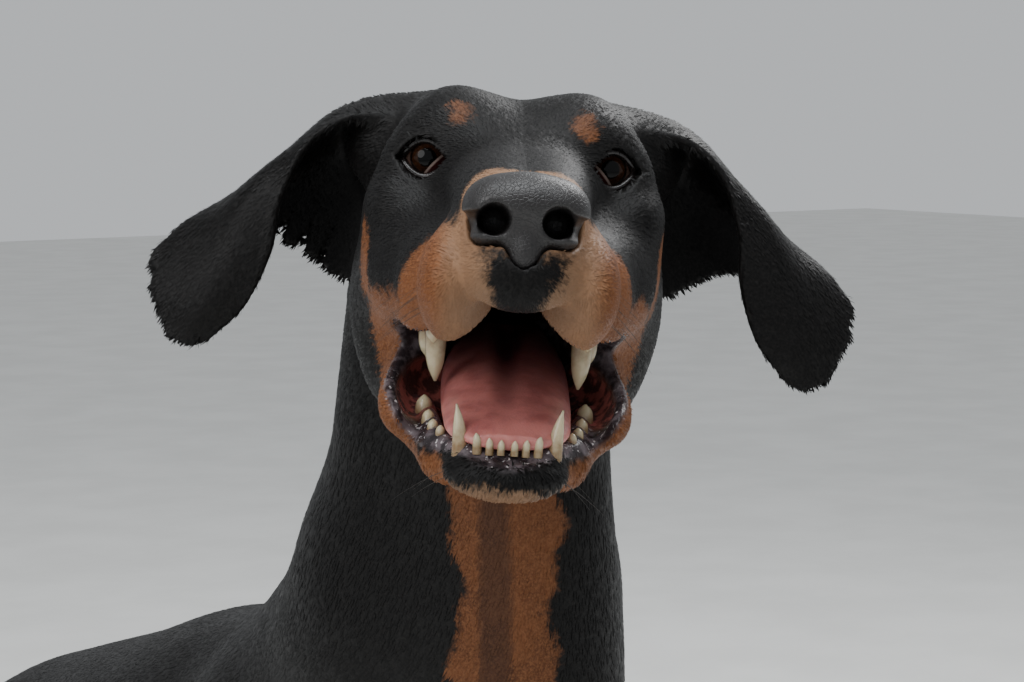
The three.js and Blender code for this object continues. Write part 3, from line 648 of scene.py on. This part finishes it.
class Nodes:
    def __init__(self, name):
        self.material = bpy.data.materials.new(name)
        self.material.use_nodes = True
        self.tree = self.material.node_tree
        self.shader = self.tree.nodes["Principled BSDF"]

    def add(self, kind, **values):
        node = self.tree.nodes.new(kind)
        for key, value in values.items():
            setattr(node, key, value)
        return node

    def link(self, a, b):
        self.tree.links.new(a, b)

    def set(self, **values):
        for key, value in values.items():
            self.shader.inputs[key.replace("_", " ")].default_value = value

    def attribute(self, name):
        return self.add("ShaderNodeAttribute", attribute_name=name).outputs["Fac"]

    def place(self, scale=(1, 1, 1), turn=(0, 0, 0)):
        coordinates = self.add("ShaderNodeTexCoord")
        mapping = self.add("ShaderNodeMapping")
        mapping.inputs["Scale"].default_value = scale
        mapping.inputs["Rotation"].default_value = turn
        self.link(coordinates.outputs["Object"], mapping.inputs["Vector"])
        return mapping.outputs["Vector"]

    def noise(self, scale, detail=4, rough=0.55, place=None):
        node = self.add("ShaderNodeTexNoise")
        node.inputs["Scale"].default_value = scale
        node.inputs["Detail"].default_value = detail
        node.inputs["Roughness"].default_value = rough
        self.link(place or self.place(), node.inputs["Vector"])
        return node.outputs["Fac"]

    def maths(self, operation, a, b):
        node = self.add("ShaderNodeMath", operation=operation)
        for n, value in enumerate((a, b)):
            if isinstance(value, (int, float)):
                node.inputs[n].default_value = value
            else:
                self.link(value, node.inputs[n])
        return node.outputs[0]

    def between(self, value, low, high, to_low=0, to_high=1):
        node = self.add("ShaderNodeMapRange", interpolation_type="SMOOTHSTEP")
        self.link(value, node.inputs["Value"])
        limits = {"From Min": low, "From Max": high, "To Min": to_low, "To Max": to_high}
        for key, number in limits.items():
            node.inputs[key].default_value = number
        return node.outputs["Result"]

    def mix(self, factor, a, b):
        node = self.add("ShaderNodeMix", data_type="RGBA")
        self.link(factor, node.inputs["Factor"])
        for socket, value in ((node.inputs[6], a), (node.inputs[7], b)):
            if isinstance(value, tuple):
                socket.default_value = (*value, 1)
            else:
                self.link(value, socket)
        return node.outputs[2]

    def bump(self, height, distance, strength, normal=None):
        node = self.add("ShaderNodeBump")
        node.inputs["Distance"].default_value = distance
        node.inputs["Strength"].default_value = strength
        self.link(height, node.inputs["Height"])
        if normal is not None:
            self.link(normal, node.inputs["Normal"])
        return node.outputs["Normal"]

    def colour(self, value):
        self.link(value, self.shader.inputs["Base Color"])


# How far, in millimetres, fine and broad noise move the edge between rust and black
RAGGED_EDGE, PATCHY_EDGE = 11, 14
BLACK, BLACK_SHEEN = (0.002, 0.0018, 0.0018), (0.008, 0.007, 0.0065)
RUST_DEEP, RUST_BRIGHT, RUST_GRAIN = (0.085, 0.026, 0.0085), (0.16, 0.053, 0.017), (0.22, 0.088, 0.034)
# The darker colour mixed into rust: the coat's own darker tone on the lips, chin and brow spots, and painted shade
# on the throat and in its groove
DARK_TONE_AND_SHADE, PALE = (0.012, 0.008, 0.007), (0.27, 0.16, 0.092)


def coat_material(name, hair):
    n = Nodes(name)
    grain = n.noise(900, 3, 0.6)
    patches = n.noise(38, 4)
    ragged = n.noise(240, 4, 0.7)
    depth = n.attribute("rust")
    for noise, reach in ((ragged, RAGGED_EDGE), (patches, PATCHY_EDGE)):
        depth = n.maths("ADD", depth, n.maths("MULTIPLY", n.maths("SUBTRACT", noise, 0.5), reach))
    is_rust = n.between(depth, -2.6, 2.6)
    black = n.mix(n.between(grain, 0.35, 0.7), BLACK, BLACK_SHEEN)
    dull = n.mix(n.between(patches, 0.3, 0.7), RUST_DEEP, RUST_BRIGHT)
    rusty = n.mix(n.between(grain, 0.3, 0.75), dull, RUST_GRAIN)
    # Darker rust: the coat's own darker tone on lips, chin and brow spots, and painted shade on the throat and
    # along its groove
    dark_tone_and_shade_share = n.attribute("dark_tone_and_shade")
    rusty = n.mix(n.maths("MULTIPLY", dark_tone_and_shade_share, 0.88), rusty, DARK_TONE_AND_SHADE)
    rusty = n.mix(n.attribute("pale"), rusty, PALE)
    colour = n.mix(is_rust, black, rusty)
    if not hair:
        wet = n.attribute("wet")
        mottled = n.noise(160, 4)
        flesh_pink = n.mix(n.between(mottled, 0.42, 0.56), (0.34, 0.095, 0.085), (0.06, 0.026, 0.028))
        # Painted shade: the flesh inside the mouth turns near black towards the back and under the roof
        inner = n.mix(n.attribute("painted_mouth_shade"), flesh_pink, (0.010, 0.003, 0.003))
        colour = n.mix(wet, colour, inner)
        lip = n.attribute("lip")
        froth = n.between(n.noise(420, 3), 0.60, 0.68)
        # The lip rim: black skin mottled with grey-violet, which is partly the lip's own grey and partly painted
        # wet sheen, with white froth on the lower lip
        lip_black_and_painted_sheen = n.mix(n.between(mottled, 0.4, 0.65), (0.022, 0.016, 0.018), (0.12, 0.096, 0.104))
        lip_black_sheen_and_froth = n.mix(n.maths("MULTIPLY", froth, n.attribute("froth")), lip_black_and_painted_sheen, (0.50, 0.46, 0.46))
        colour = n.mix(lip, colour, lip_black_sheen_and_froth)
        gloss = n.maths("MAXIMUM", wet, lip)
        n.link(n.between(gloss, 0, 1, 0.5, 0.22), n.shader.inputs["Roughness"])
    else:
        n.set(Roughness=0.48)
    n.colour(colour)
    n.set(**{"Sheen Weight": 0.02, "Sheen Roughness": 0.4, "Specular IOR Level": 0.16})
    strands = n.noise(700, 2, 0.5, n.place((1, 0.35, 0.5)))
    folds = n.noise(60, 3, 0.5)
    normal = n.bump(folds, 0.0012, 0.35)
    n.link(n.bump(strands, 0.0006, 0.5, normal), n.shader.inputs["Normal"])
    return n.material


def eye_material():
    n = Nodes("eye")
    n.set(Roughness=0.03, **{"Specular IOR Level": 0.17})
    ring = n.attribute("ring")
    streaks = n.noise(900, 4, 0.6)
    iris = n.mix(n.between(streaks, 0.3, 0.7), (0.012, 0.005, 0.0025), (0.034, 0.013, 0.006))
    iris = n.mix(n.between(ring, 0.78, 0.98), iris, (0.004, 0.002, 0.0015))
    eye = n.mix(n.between(ring, 0.44, 0.56), (0.001, 0.001, 0.001), iris)
    veins = n.mix(n.between(n.noise(500, 4), 0.45, 0.7), (0.08, 0.05, 0.04), (0.05, 0.018, 0.014))
    eye = n.mix(n.between(ring, 1.0, 1.15), eye, veins)
    inner = n.attribute("inner")
    eye = n.mix(n.between(inner, -0.5, -0.1), eye, (0.30, 0.22, 0.19))
    n.colour(n.mix(n.between(inner, 0.3, 0.8), eye, (0.045, 0.010, 0.009)))
    return n.material


def nose_material():
    n = Nodes("nose_leather")
    cells = n.add("ShaderNodeTexVoronoi", feature="DISTANCE_TO_EDGE")
    cells.inputs["Scale"].default_value = 620
    n.link(n.place(), cells.inputs["Vector"])
    pebble = n.between(cells.outputs["Distance"], 0.0, 0.12)
    n.colour(n.mix(pebble, (0.004, 0.0035, 0.0035), (0.013, 0.011, 0.011)))
    n.link(n.between(n.noise(90, 3), 0.3, 0.7, 0.34, 0.5), n.shader.inputs["Roughness"])
    n.link(n.bump(pebble, 0.0003, 0.4), n.shader.inputs["Normal"])
    return n.material


def tongue_material():
    n = Nodes("wet_tongue")
    patches = n.between(n.noise(90, 5, 0.6), 0.38, 0.68)
    pink = n.mix(patches, (0.60, 0.21, 0.185), (0.42, 0.13, 0.12))
    # Painted shade: the tongue darkens towards the back of the mouth and along its middle
    pink = n.mix(n.maths("MULTIPLY", n.attribute("painted_tongue_shade"), 0.8), pink, (0.09, 0.022, 0.026))
    n.colour(pink)
    n.set(**{"Subsurface Weight": 0.12, "Coat Weight": 0.35, "Coat Roughness": 0.2})
    n.link(n.between(n.noise(60, 3), 0.3, 0.7, 0.28, 0.5), n.shader.inputs["Roughness"])
    n.link(n.bump(n.noise(1100, 3), 0.0004, 0.6), n.shader.inputs["Normal"])
    return n.material


def tooth_material():
    n = Nodes("tooth")
    blotches = n.maths("MULTIPLY", n.noise(260, 4), 0.9)
    stain = n.between(n.maths("ADD", n.attribute("root"), blotches), 0.75, 1.7)
    n.colour(n.mix(stain, (0.58, 0.48, 0.31), (0.20, 0.11, 0.045)))
    n.set(Roughness=0.22, **{"Subsurface Weight": 0.1, "Coat Weight": 0.3})
    n.link(n.bump(n.noise(500, 3), 0.0003, 0.4), n.shader.inputs["Normal"])
    return n.material


def horn_material():
    n = Nodes("claw")
    n.colour(n.mix(n.between(n.noise(400, 4), 0.3, 0.7), (0.008, 0.007, 0.006), (0.04, 0.03, 0.024)))
    n.set(Roughness=0.35)
    n.link(n.bump(n.noise(700, 3), 0.0003, 0.4), n.shader.inputs["Normal"])
    return n.material


def lid_material():
    n = Nodes("lid_rim")
    n.colour(n.mix(n.between(n.noise(900, 3), 0.3, 0.7), (0.004, 0.003, 0.003), (0.018, 0.012, 0.011)))
    n.set(Roughness=0.25)
    n.link(n.bump(n.noise(1500, 3), 0.0002, 0.4), n.shader.inputs["Normal"])
    return n.material


def floor_material():
    n = Nodes("floor")
    n.colour(n.mix(n.between(n.noise(6, 4), 0.3, 0.7), (0.70, 0.70, 0.68), (0.76, 0.76, 0.74)))
    n.set(Roughness=0.8)
    n.link(n.bump(n.noise(300, 3), 0.0004, 0.3), n.shader.inputs["Normal"])
    return n.material


# Skin, on a grid that is fine where the head is
FINE, COARSE = ((1.35, 4.2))
xs = spaced([[-250, FINE], [60, COARSE]], 288)
ys = spaced([[-400, FINE], [-150, COARSE]], 770)
zs = spaced([[-20, COARSE], [520, FINE]], 706)
skin_points, skin_faces = surface(flesh, xs, ys, zs)
SKIN_ABOVE_FLOOR, TUFTS_ABOVE_FLOOR = 0.4, 0.3
skin_points[:, 2] = np.maximum(skin_points[:, 2], SKIN_ABOVE_FLOOR)

coat_look = coat_material("coat", hair=True)
skin = mesh_object("skin", skin_points, skin_faces, coat_material("skin", hair=False))


def smooth_step(value, low, high):
    t = np.clip((value - low) / (high - low), 0, 1)
    return t * t * (3 - 2 * t)


def store_markings(made, points):
    head = moved(TO_HEAD, points)
    store(made, "rust", rust(points))
    dark_tone_and_shade = smooth_step(-np.abs(head[:, 0]), -24, -8) * smooth_step(-head[:, 1], 84, 104)
    dark_tone_and_shade = dark_tone_and_shade * smooth_step(-head[:, 2], 30, 44)
    on_chin = smooth_step(-np.abs(head[:, 0]), -31, -20) * smooth_step(-head[:, 1], 66, 78)
    on_chin = on_chin * (head[:, 2] < -95)
    # Painted shade: the throat under the head is darkened, and more so along the groove down its middle
    painted_throat_shade = 0.3 * smooth_step(points[:, 2], 330, 380) * (points[:, 2] < 530)
    painted_throat_and_groove_shade = np.maximum(0.75 * smooth_step(-throat_line(points), -11, -3), painted_throat_shade)
    brow = 0.4 * smooth_step(-brow_spots(head), -3, 0)
    dark_parts = [dark_tone_and_shade, on_chin * smooth_step(head[:, 2], -138, -126), painted_throat_and_groove_shade, brow]
    store(made, "dark_tone_and_shade", np.maximum.reduce(dark_parts))
    by_pad = smooth_step(-nose_pad(head), -7, -2) * smooth_step(head[:, 2], -26, -14)
    on_muzzle = 0.72 * smooth_step(-head[:, 1], 60, 92) * smooth_step(-np.abs(head[:, 0]), -34, -24)
    store(made, "pale", np.maximum(by_pad * 0.8, on_muzzle))


store_markings(skin, skin_points)
in_head = moved(TO_HEAD, skin_points)
mouth_depth = mouth(in_head)
outer = head_flesh(in_head)
MOUTH_LOW, MOUTH_HIGH = np.array([-90, -140, -np.inf]), np.array([90, 60, -30])
near_mouth = ((in_head > MOUTH_LOW) & (in_head < MOUTH_HIGH)).all(1)
wet = smooth_step(-mouth_depth, -2.5, -0.5) * near_mouth
store(skin, "wet", wet * smooth_step(-outer, 5, 9))
rim = smooth_step(-mouth_depth, -6.5, -3.0) * near_mouth * (1 - smooth_step(-outer, 5, 9))
store(skin, "lip", rim)
store(skin, "froth", rim * smooth_step(-in_head[:, 2], 84, 100))
# Painted shade inside the mouth, towards the back and under the roof
at_the_back, at_the_top = smooth_step(in_head[:, 1], 4, 34), smooth_step(in_head[:, 2], -82, -70)
store(skin, "painted_mouth_shade", np.maximum(at_the_back, at_the_top))
FLESH_NODES = ["head", "jaw", "ear_left", "ear_right", "neck", "torso", "tail"]
LEG_PARTS = ("foreleg", "forepaw", "hindleg", "hindpaw")
FLESH_NODES += [f"{part}_{side}" for part in LEG_PARTS for side in ("left", "right")]
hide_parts(*FLESH_NODES)


# Pieces of the head


# A piece whose box runs from low to high, on a grid of the given steps
def head_piece(name, field, low, high, steps, material):
    grid = [spaced([[start, step]], end) for start, end, step in zip(low, high, steps)]
    points, faces = surface(field, *grid)
    return points, mesh_object(name, moved(HEAD_FRAME, points), faces, material)


_, nose_piece = head_piece(
    "nose_leather", nose, (-27, -134, -48), (27, -98, -4), (0.9, 0.9, 0.9), nose_material()
)
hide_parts("nose")
tongue_points, tongue_piece = head_piece(
    "wet_tongue", tongue, (-30, -88, -118), (30, 44, -68), (1.6, 1.6, 1.4), tongue_material()
)
# Painted shade on the tongue, darker towards the back of the mouth and along its middle
tongue_shade_share = smooth_step(tongue_points[:, 1], -44, 6)
tongue_shade_share = tongue_shade_share + 0.5 * smooth_step(-np.abs(tongue_points[:, 0]), -9, 0)
store(tongue_piece, "painted_tongue_shade", tongue_shade_share * smooth_step(tongue_points[:, 1], -66, -40))
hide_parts("tongue")


# The cornea stands out of the eyeball inside one angle, in radians, and the iris ends at another
CORNEA_BULGE, CORNEA_ANGLE, IRIS_ANGLE = 0.9, 0.62, 0.66
EYE_LOOK = (0.10, -1, 0.03)
LID_RIM_RADIUS, LID_RIM_LIFT, LID_RIM_STEPS = 1.7, 1.1, 72


def grid_faces(rows, around):
    faces = []
    for i in range(rows):
        for j in range(around):
            here, after = i * around, (i + 1) * around
            ahead = (j + 1) % around
            faces.append([here + j, here + ahead, after + ahead, after + j])
    return faces


def ball(centre, axis, rings=40, around=56):
    axis = axis / np.linalg.norm(axis)
    side = np.cross(axis, (0, 0, 1))
    side /= np.linalg.norm(side)
    up = np.cross(side, axis)
    points, ring = [], []
    for i in range(rings + 1):
        angle = math.pi * i / rings
        bulge = CORNEA_BULGE * max(0, 1 - (angle / CORNEA_ANGLE) ** 2)
        reach = EYE_RADIUS + bulge
        for j in range(around):
            turn = 2 * math.pi * j / around
            out = math.cos(turn) * side + math.sin(turn) * up
            points.append(centre + reach * (math.cos(angle) * axis + math.sin(angle) * out))
            ring.append(angle / IRIS_ANGLE)
    return np.array(points), grid_faces(rings, around), ring


def tube(points, radii, around=8, closed=False):
    points = np.array(points, float)
    radii = np.broadcast_to(radii, len(points))
    along = np.roll(points, -1, 0) - np.roll(points, 1, 0) if closed else np.gradient(points, axis=0)
    along /= np.linalg.norm(along, axis=1)[:, None]
    verts = []
    across = np.cross(along[0], (0.31, 0.22, 0.93))
    for point, radius, way in zip(points, radii, along):
        across = across - way * (across @ way)
        across /= np.linalg.norm(across)
        other = np.cross(way, across)
        for k in range(around):
            turn = 2 * math.pi * k / around
            verts.append(point + radius * (math.cos(turn) * across + math.sin(turn) * other))
    count = len(points) if closed else len(points) - 1
    faces = []
    for i in range(count):
        for k in range(around):
            here, after = i * around, (i + 1) % len(points) * around
            ahead = (k + 1) % around
            faces.append([here + k, after + k, after + ahead, here + ahead])
    return np.array(verts), faces


eye_look, lid_look = eye_material(), lid_material()
for name, side in (("left", 1), ("right", -1)):
    centre = EYE_PLACE * (side, 1, 1)
    points, faces, ring = ball(centre, EYE_LOOK * np.array([side, 1, 1]))
    eye = mesh_object("eye_ball_" + name, moved(HEAD_FRAME, points), faces, eye_look)
    store(eye, "ring", ring)
    a = math.radians(LID_TURN)
    turned = points - centre
    across_eye = (math.cos(a) * side * turned[:, 0]) + math.sin(a) * turned[:, 1]
    # The third eyelid is past a slanted line at the eye's inner corner
    store(eye, "inner", -0.75 * (across_eye + 7.2) - 0.66 * (turned[:, 2] - 1.7))
    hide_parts("eye_" + name)
    across = np.array([math.cos(a) * side, math.sin(a), 0])
    rim_line = []
    for t in np.linspace(0, 2 * math.pi, LID_RIM_STEPS, endpoint=False):
        u = math.cos(t)
        rise = LID_HEIGHT * (1 - u * u) * (1 if math.sin(t) > 0 else -1)
        flat = across * (LID_WIDTH * u) + np.array([0, 0, rise])
        depth = math.sqrt(max(0.1, (EYE_RADIUS + LID_RIM_LIFT) ** 2 - flat @ flat))
        rim_line.append(centre + flat + depth * np.array([math.sin(a) * side, -math.cos(a), 0]))
    points, faces = tube(rim_line, LID_RIM_RADIUS, closed=True)
    mesh_object("lid_rim_" + name, moved(HEAD_FRAME, points), faces, lid_look)

# Each tooth: place of its root, length up, radius, and how far its tip leans out and forward
LOWER_TEETH = [
    [2.6, -83, -113, 4, 1.8, 0, 1.5],
    [7, -82, -113, 4.5, 1.9, 0.4, 1.5],
    [11.8, -81, -112.5, 5.5, 2.2, 0.8, 1.5],
    [18.5, -77, -112, 15.5, 3.5, 2.5, 1],
    [26, -57, -110, 3.5, 2.4, 0, 0],
    [29, -46, -109, 4, 2.8, 0, 0],
    [31, -34, -107, 5, 3.4, 0, 0],
    [33, -20, -104, 7, 4.4, 0, 0],
]
UPPER_TEETH = [
    [18, -90, -54, -8, 4, 1, -2],
    [30, -50, -63, -5, 3.2, 0, 0],
    [31, -38, -67, -8, 4.2, 0, 0],
    [30, -24, -69, -22, 5.4, -1, 0],
    [33, -11, -70, -12, 5, 0, 0],
]


TOOTH_SUNK, TOOTH_STEPS, TOOTH_SQUEEZE = 0.5, 14, 0.85
LONG_TOOTH, LONG_POINT, SHORT_POINT = 14, 2.4, 4.5
CONE_SIDES = 12


def cone_rows(path, around=CONE_SIDES):
    points, faces = tube([row[:3] for row in path], [row[3] for row in path], around)
    tip, last = len(points), len(points) - around
    points = np.vstack([points, np.array(path[-1][:3])])
    faces += [[last + k, tip, last + (k + 1) % around] for k in range(around)]
    return points, faces


def merged(parts):
    points, faces, extra, start = [], [], [], 0
    for p, f, *more in parts:
        points.append(p)
        faces += [[i + start for i in face] for face in f]
        extra += list(more[0]) if more else []
        start += len(p)
    return np.vstack(points), faces, extra


teeth = []
for x, y, z, length, radius, out, fore in LOWER_TEETH + UPPER_TEETH:
    for side in (1, -1):
        path = []
        for t in np.linspace(-TOOTH_SUNK, 1, TOOTH_STEPS):
            point = LONG_POINT if length > LONG_TOOTH else SHORT_POINT
            grown = max(t, 0)
            wide = radius * (1 - 0.15 * grown) * max(0.15, 1 - (grown / 1.01) ** point)
            up = grown**1.5
            path.append([side * (x + out * up), y - fore * up, z + length * t, wide])
        points, faces = cone_rows(path)
        points[:, 0] = side * x + (points[:, 0] - side * x) * TOOTH_SQUEEZE
        nearness = np.clip(1 - np.linspace(-TOOTH_SUNK, 1, TOOTH_STEPS), 0, 1)
        root = np.repeat(nearness, CONE_SIDES).tolist() + [0]
        teeth.append((points, faces, root))
points, faces, root = merged(teeth)
teeth_piece = mesh_object("teeth", moved(HEAD_FRAME, points), faces, tooth_material())
store(teeth_piece, "root", root)

CLAW_RADIUS, CLAW_LENGTH, CLAW_RISE, CLAW_DROP = 3.7, 20, 12, 10.5
claws = []
for place, scale in PAWS:
    for x, y, _ in TOES:
        path = []
        for t in np.linspace(0, 1, 12):
            ahead = place[1] + (y - 14 - CLAW_LENGTH * t) * scale
            height = CLAW_RISE - CLAW_DROP * t**2.2
            radius = CLAW_RADIUS * (1 - 0.86 * t**1.4)
            path.append([place[0] + x * TOE_SPLAY * scale, ahead, height * scale, radius])
        claws.append(cone_rows(path))
points, faces, _ = merged(claws)
mesh_object("claws", points, faces, horn_material())

# Whiskers, in rows on the muzzle and a few on the chin: where a row starts (back, up, aside) and how many it has
WHISKER_ROWS = ((-104, -44, 24, 4), (-92, -52, 30, 5), (-80, -60, 33, 4), (-84, -122, 18, 3))
WHISKER_RADIUS = 0.17
whiskers = []
for side in (1, -1):
    for y, z, x, count in WHISKER_ROWS:
        for n in range(count):
            root = np.array([side * x, y + 9 * n, z + 1.5 * n])
            way = np.array([side * 0.75, 0.5, -0.25 - 0.25 * rng.random()])
            length = rng.uniform(24, 42)
            bend = np.linspace(0, 1, 9)[:, None]
            line = root + way * (bend - 0.12) * length + np.array([0, 0.12, -0.22]) * length * bend**2
            whiskers.append(tube(line, WHISKER_RADIUS * (1 - 0.85 * bend[:, 0]), 5))
points, faces, _ = merged(whiskers)
mesh_object("whiskers", moved(HEAD_FRAME, points), faces, horn_material())

# Short coat: thin tufts that lie flat and break the outline, denser and smaller on the head and feet. Each tuft has
# rows of: how far along it, how wide a share, and how high a share of its lift.
TUFT_ROWS = ((0.0, 0.8, -0.25), (0.5, 1.0, 0.25), (1.0, 0.0, 0.32))
TUFT_POINTS = 5
TUFT_SPREAD = 0.09
TUFT_PATCH = 0.003


def skin_samples(count, size_of):
    tri = np.array([t for q in skin_faces for t in ((q[0], q[1], q[2]), (q[0], q[2], q[3]))])
    a, b, c = (skin_points[tri[:, n]] for n in range(3))
    normal = np.cross(b - a, c - a)
    area = np.linalg.norm(normal, axis=1) / 2
    middle = (a + b + c) / 3
    weight = area / size_of(middle) ** 2 * hairy(middle)
    pick = rng.choice(len(tri), count, p=weight / weight.sum())
    u, v = rng.random(count), rng.random(count)
    flip = u + v > 1
    u[flip], v[flip] = 1 - u[flip], 1 - v[flip]
    place = a[pick] + u[:, None] * (b - a)[pick] + v[:, None] * (c - a)[pick]
    return place, normal[pick] / (2 * area[pick] + 1e-9)[:, None]


def hairy(p):
    head = moved(TO_HEAD, p)
    bare = smooth_step(-mouth(head), -5, -3) * (head[:, 1] < 70)
    bare = np.maximum(bare, smooth_step(-eye_socket(head), -4, -2.5))
    bare = np.maximum(bare, smooth_step(-nose_pad(head), -2, -1))
    bare = np.maximum(bare, p[:, 2] < 3)
    return 1 - bare


def hair_length(p):
    head = moved(TO_HEAD, p)
    on_head = smooth_step(p[:, 2], 500, 560)
    on_face = smooth_step(-head[:, 1], -60, 60) * on_head
    on_foot = smooth_step(-p[:, 2], -70, -20)
    on_ear = smooth_step(np.abs(head[:, 0]), 72, 90) * on_head
    return 6.2 - 1.6 * np.maximum(on_head, on_foot) - 2.0 * on_face - 0.8 * on_foot - 1.3 * on_ear


def hair_flow(p):
    head = moved(TO_HEAD, p)
    in_head_way = np.stack([np.sign(head[:, 0]) * 0.25, np.ones(len(p)), np.full(len(p), -0.35)], 1)
    on_ear = smooth_step(np.abs(head[:, 0]), 72, 90)[:, None]
    ear_way = np.stack([np.sign(head[:, 0]) * 0.7, np.zeros(len(p)), np.full(len(p), -0.8)], 1)
    head_way = (in_head_way * (1 - on_ear) + ear_way * on_ear) @ HEAD_FRAME[:3, :3].T
    body_way = np.tile([0.0, 0.85, -0.55], (len(p), 1))
    leg_way = np.tile([0.0, -0.9, -0.4], (len(p), 1))
    on_head = smooth_step(p[:, 2], 520, 590)[:, None]
    on_leg = (smooth_step(-p[:, 2], -120, -60) * smooth_step(np.abs(p[:, 0]), 50, 80))[:, None]
    neck_way = np.tile([0.0, 0.35, -0.95], (len(p), 1))
    on_neck = smooth_step(p[:, 2], 400, 460)[:, None]
    way = body_way * (1 - on_neck) + neck_way * on_neck
    way = way * (1 - on_leg) + leg_way * on_leg
    return way * (1 - on_head) + head_way * on_head


# A place on the skin laid flat, with one island for each of six ways each part of the body faces
ISLAND_LOW, ISLAND_SPAN = -420.0, 1200
ISLANDS_ACROSS, ISLANDS_UP = 8, 7
ISLAND_MARGIN, ISLAND_USED = 0.04, 0.92


def unwrapped(place, normal):
    head = moved(TO_HEAD, place)
    part = np.select(
        [head[:, 1] < 100, place[:, 1] > 575, place[:, 2] < 110],
        [
            np.where(np.abs(head[:, 0]) > 70, 1, 0),
            2,
            np.where(place[:, 0] > 0, 3, 4) + 2 * (place[:, 1] > 150),
        ],
        default=7,
    )
    main = np.abs(normal).argmax(1)
    way = main * 2 + (np.take_along_axis(normal, main[:, None], 1)[:, 0] > 0)
    first = np.where(main == 0, place[:, 1], place[:, 0])
    second = np.where(main == 2, place[:, 1], place[:, 2])
    flat = ISLAND_MARGIN + ISLAND_USED * (np.stack([first, second], 1) - ISLAND_LOW) / ISLAND_SPAN
    cell = part * 6 + way
    across = (cell % ISLANDS_ACROSS + flat[:, 0]) / ISLANDS_ACROSS
    up = (cell // ISLANDS_ACROSS + flat[:, 1]) / ISLANDS_UP
    return np.stack([across, up], 1)


def coat_piece(name, count):
    place, normal = skin_samples(count, hair_length)
    size = hair_length(place) * rng.uniform(0.7, 1.25, count)
    way = hair_flow(place) + rng.normal(0, TUFT_SPREAD, (count, 3))
    way -= normal * (way * normal).sum(1)[:, None]
    way /= np.linalg.norm(way, axis=1)[:, None] + 1e-9
    across = np.cross(normal, way)
    width = size * rng.uniform(0.07, 0.11, count)
    lift = rng.uniform(0.6, 1.2, count)
    rows = []
    for along, wide, high in TUFT_ROWS:
        middle = place + way * (size * along)[:, None] + normal * (high * lift)[:, None]
        rows.append(middle - across * (width * wide)[:, None])
        if wide:
            rows.append(middle + across * (width * wide)[:, None])
    points = np.stack(rows, 1).reshape(-1, 3)
    points[:, 2] = np.maximum(points[:, 2], TUFTS_ABOVE_FLOOR)
    base = np.arange(count)[:, None] * TUFT_POINTS
    quads = (base + [0, 1, 3, 2]).tolist()
    tips = (base + [2, 3, 4]).tolist()
    made = mesh_object(name, points, quads + tips, coat_look)
    store_markings(made, np.repeat(place, TUFT_POINTS, 0))
    root = unwrapped(place, normal)
    corner = np.array([[0, 0], [1, 0], [0, 0.5], [1, 0.5], [0.5, 1]]) * TUFT_PATCH
    uv = (root[:, None] + corner[None]).reshape(-1, 2)
    loops = np.empty(len(made.data.loops), np.int32)
    made.data.loops.foreach_get("vertex_index", loops)
    layer = made.data.uv_layers.new(name="OFBake")
    layer.data.foreach_set("uv", uv[loops].astype(np.float32).ravel())
    return made


PIECES, TUFTS = ((6, 64000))
for index in range(PIECES):
    coat_piece(f"coat_{index + 1}", TUFTS)

# Stage
floor_mesh = bpy.data.meshes.new("floor")
FLOOR_HALF = 9
floor_corners = [(FLOOR_HALF * x, FLOOR_HALF * y, 0) for x, y in ((-1, -1), (1, -1), (1, 1), (-1, 1))]
floor_mesh.from_pydata(floor_corners, [], [(0, 1, 2, 3)])
floor = bpy.data.objects.new("floor", floor_mesh)
bpy.context.scene.collection.objects.link(floor)
floor_mesh.materials.append(floor_material())

world = bpy.data.worlds.new("studio")
bpy.context.scene.world = world
world.use_nodes = True
background = world.node_tree.nodes["Background"]
background.inputs["Color"].default_value = (0.90, 0.93, 0.96, 1)
background.inputs["Strength"].default_value = 0.62


def area_light(name, place, target, size, power, colour=(1, 1, 1)):
    data = bpy.data.lights.new(name, "AREA")
    data.shape, data.size, data.energy, data.color = "DISK", size, power, colour
    lamp = bpy.data.objects.new(name, data)
    lamp.location = place
    lamp.rotation_mode = "QUATERNION"
    lamp.rotation_quaternion = (Vector(target) - Vector(place)).to_track_quat("-Z", "Y")
    bpy.context.scene.collection.objects.link(lamp)


# Camera, a metre in front of the eyes, looking down by the pitch, with the eyes a little off the picture's middle
CAMERA_YAW, CAMERA_PITCH = 35.0, 6.0
CAMERA_AWAY, EYES_ASIDE, EYES_UP = 1000, 2.7, 73.5
LENS, SENSOR = 84.4, 36
yaw, pitch = math.radians(CAMERA_YAW), math.radians(CAMERA_PITCH)
forward = np.array([math.sin(yaw) * math.cos(pitch), math.cos(yaw) * math.cos(pitch), -math.sin(pitch)])
right = np.array([math.cos(yaw), -math.sin(yaw), 0])
upward = np.cross(right, forward)
eye_middle = np.array(HEAD_PLACE) + SHIFT
spot = eye_middle - forward * CAMERA_AWAY - right * EYES_ASIDE - upward * EYES_UP
camera_data = bpy.data.cameras.new("camera")
camera_data.lens, camera_data.sensor_width = LENS, SENSOR
camera_data.clip_start = 0.05
camera = bpy.data.objects.new("camera", camera_data)
camera.location = spot / MM_PER_METRE
camera.rotation_mode = "QUATERNION"
camera.rotation_quaternion = Vector(forward).to_track_quat("-Z", "Y")
bpy.context.scene.collection.objects.link(camera)
bpy.context.scene.camera = camera

face = eye_middle / MM_PER_METRE
toward, aside = -forward * (1, 1, 0), right
area_light("sky", face + toward * 0.5 + np.array([0, 0, 2.1]), face, 2.0, 58, (0.95, 0.98, 1.0))
area_light("left", face + toward * 1.4 - aside * 1.5 + np.array([0, 0, 1.0]), face, 1.6, 24)
area_light("behind", face - toward * 1.4 + aside * 0.9 + np.array([0, 0, 1.3]), face, 1.0, 26)
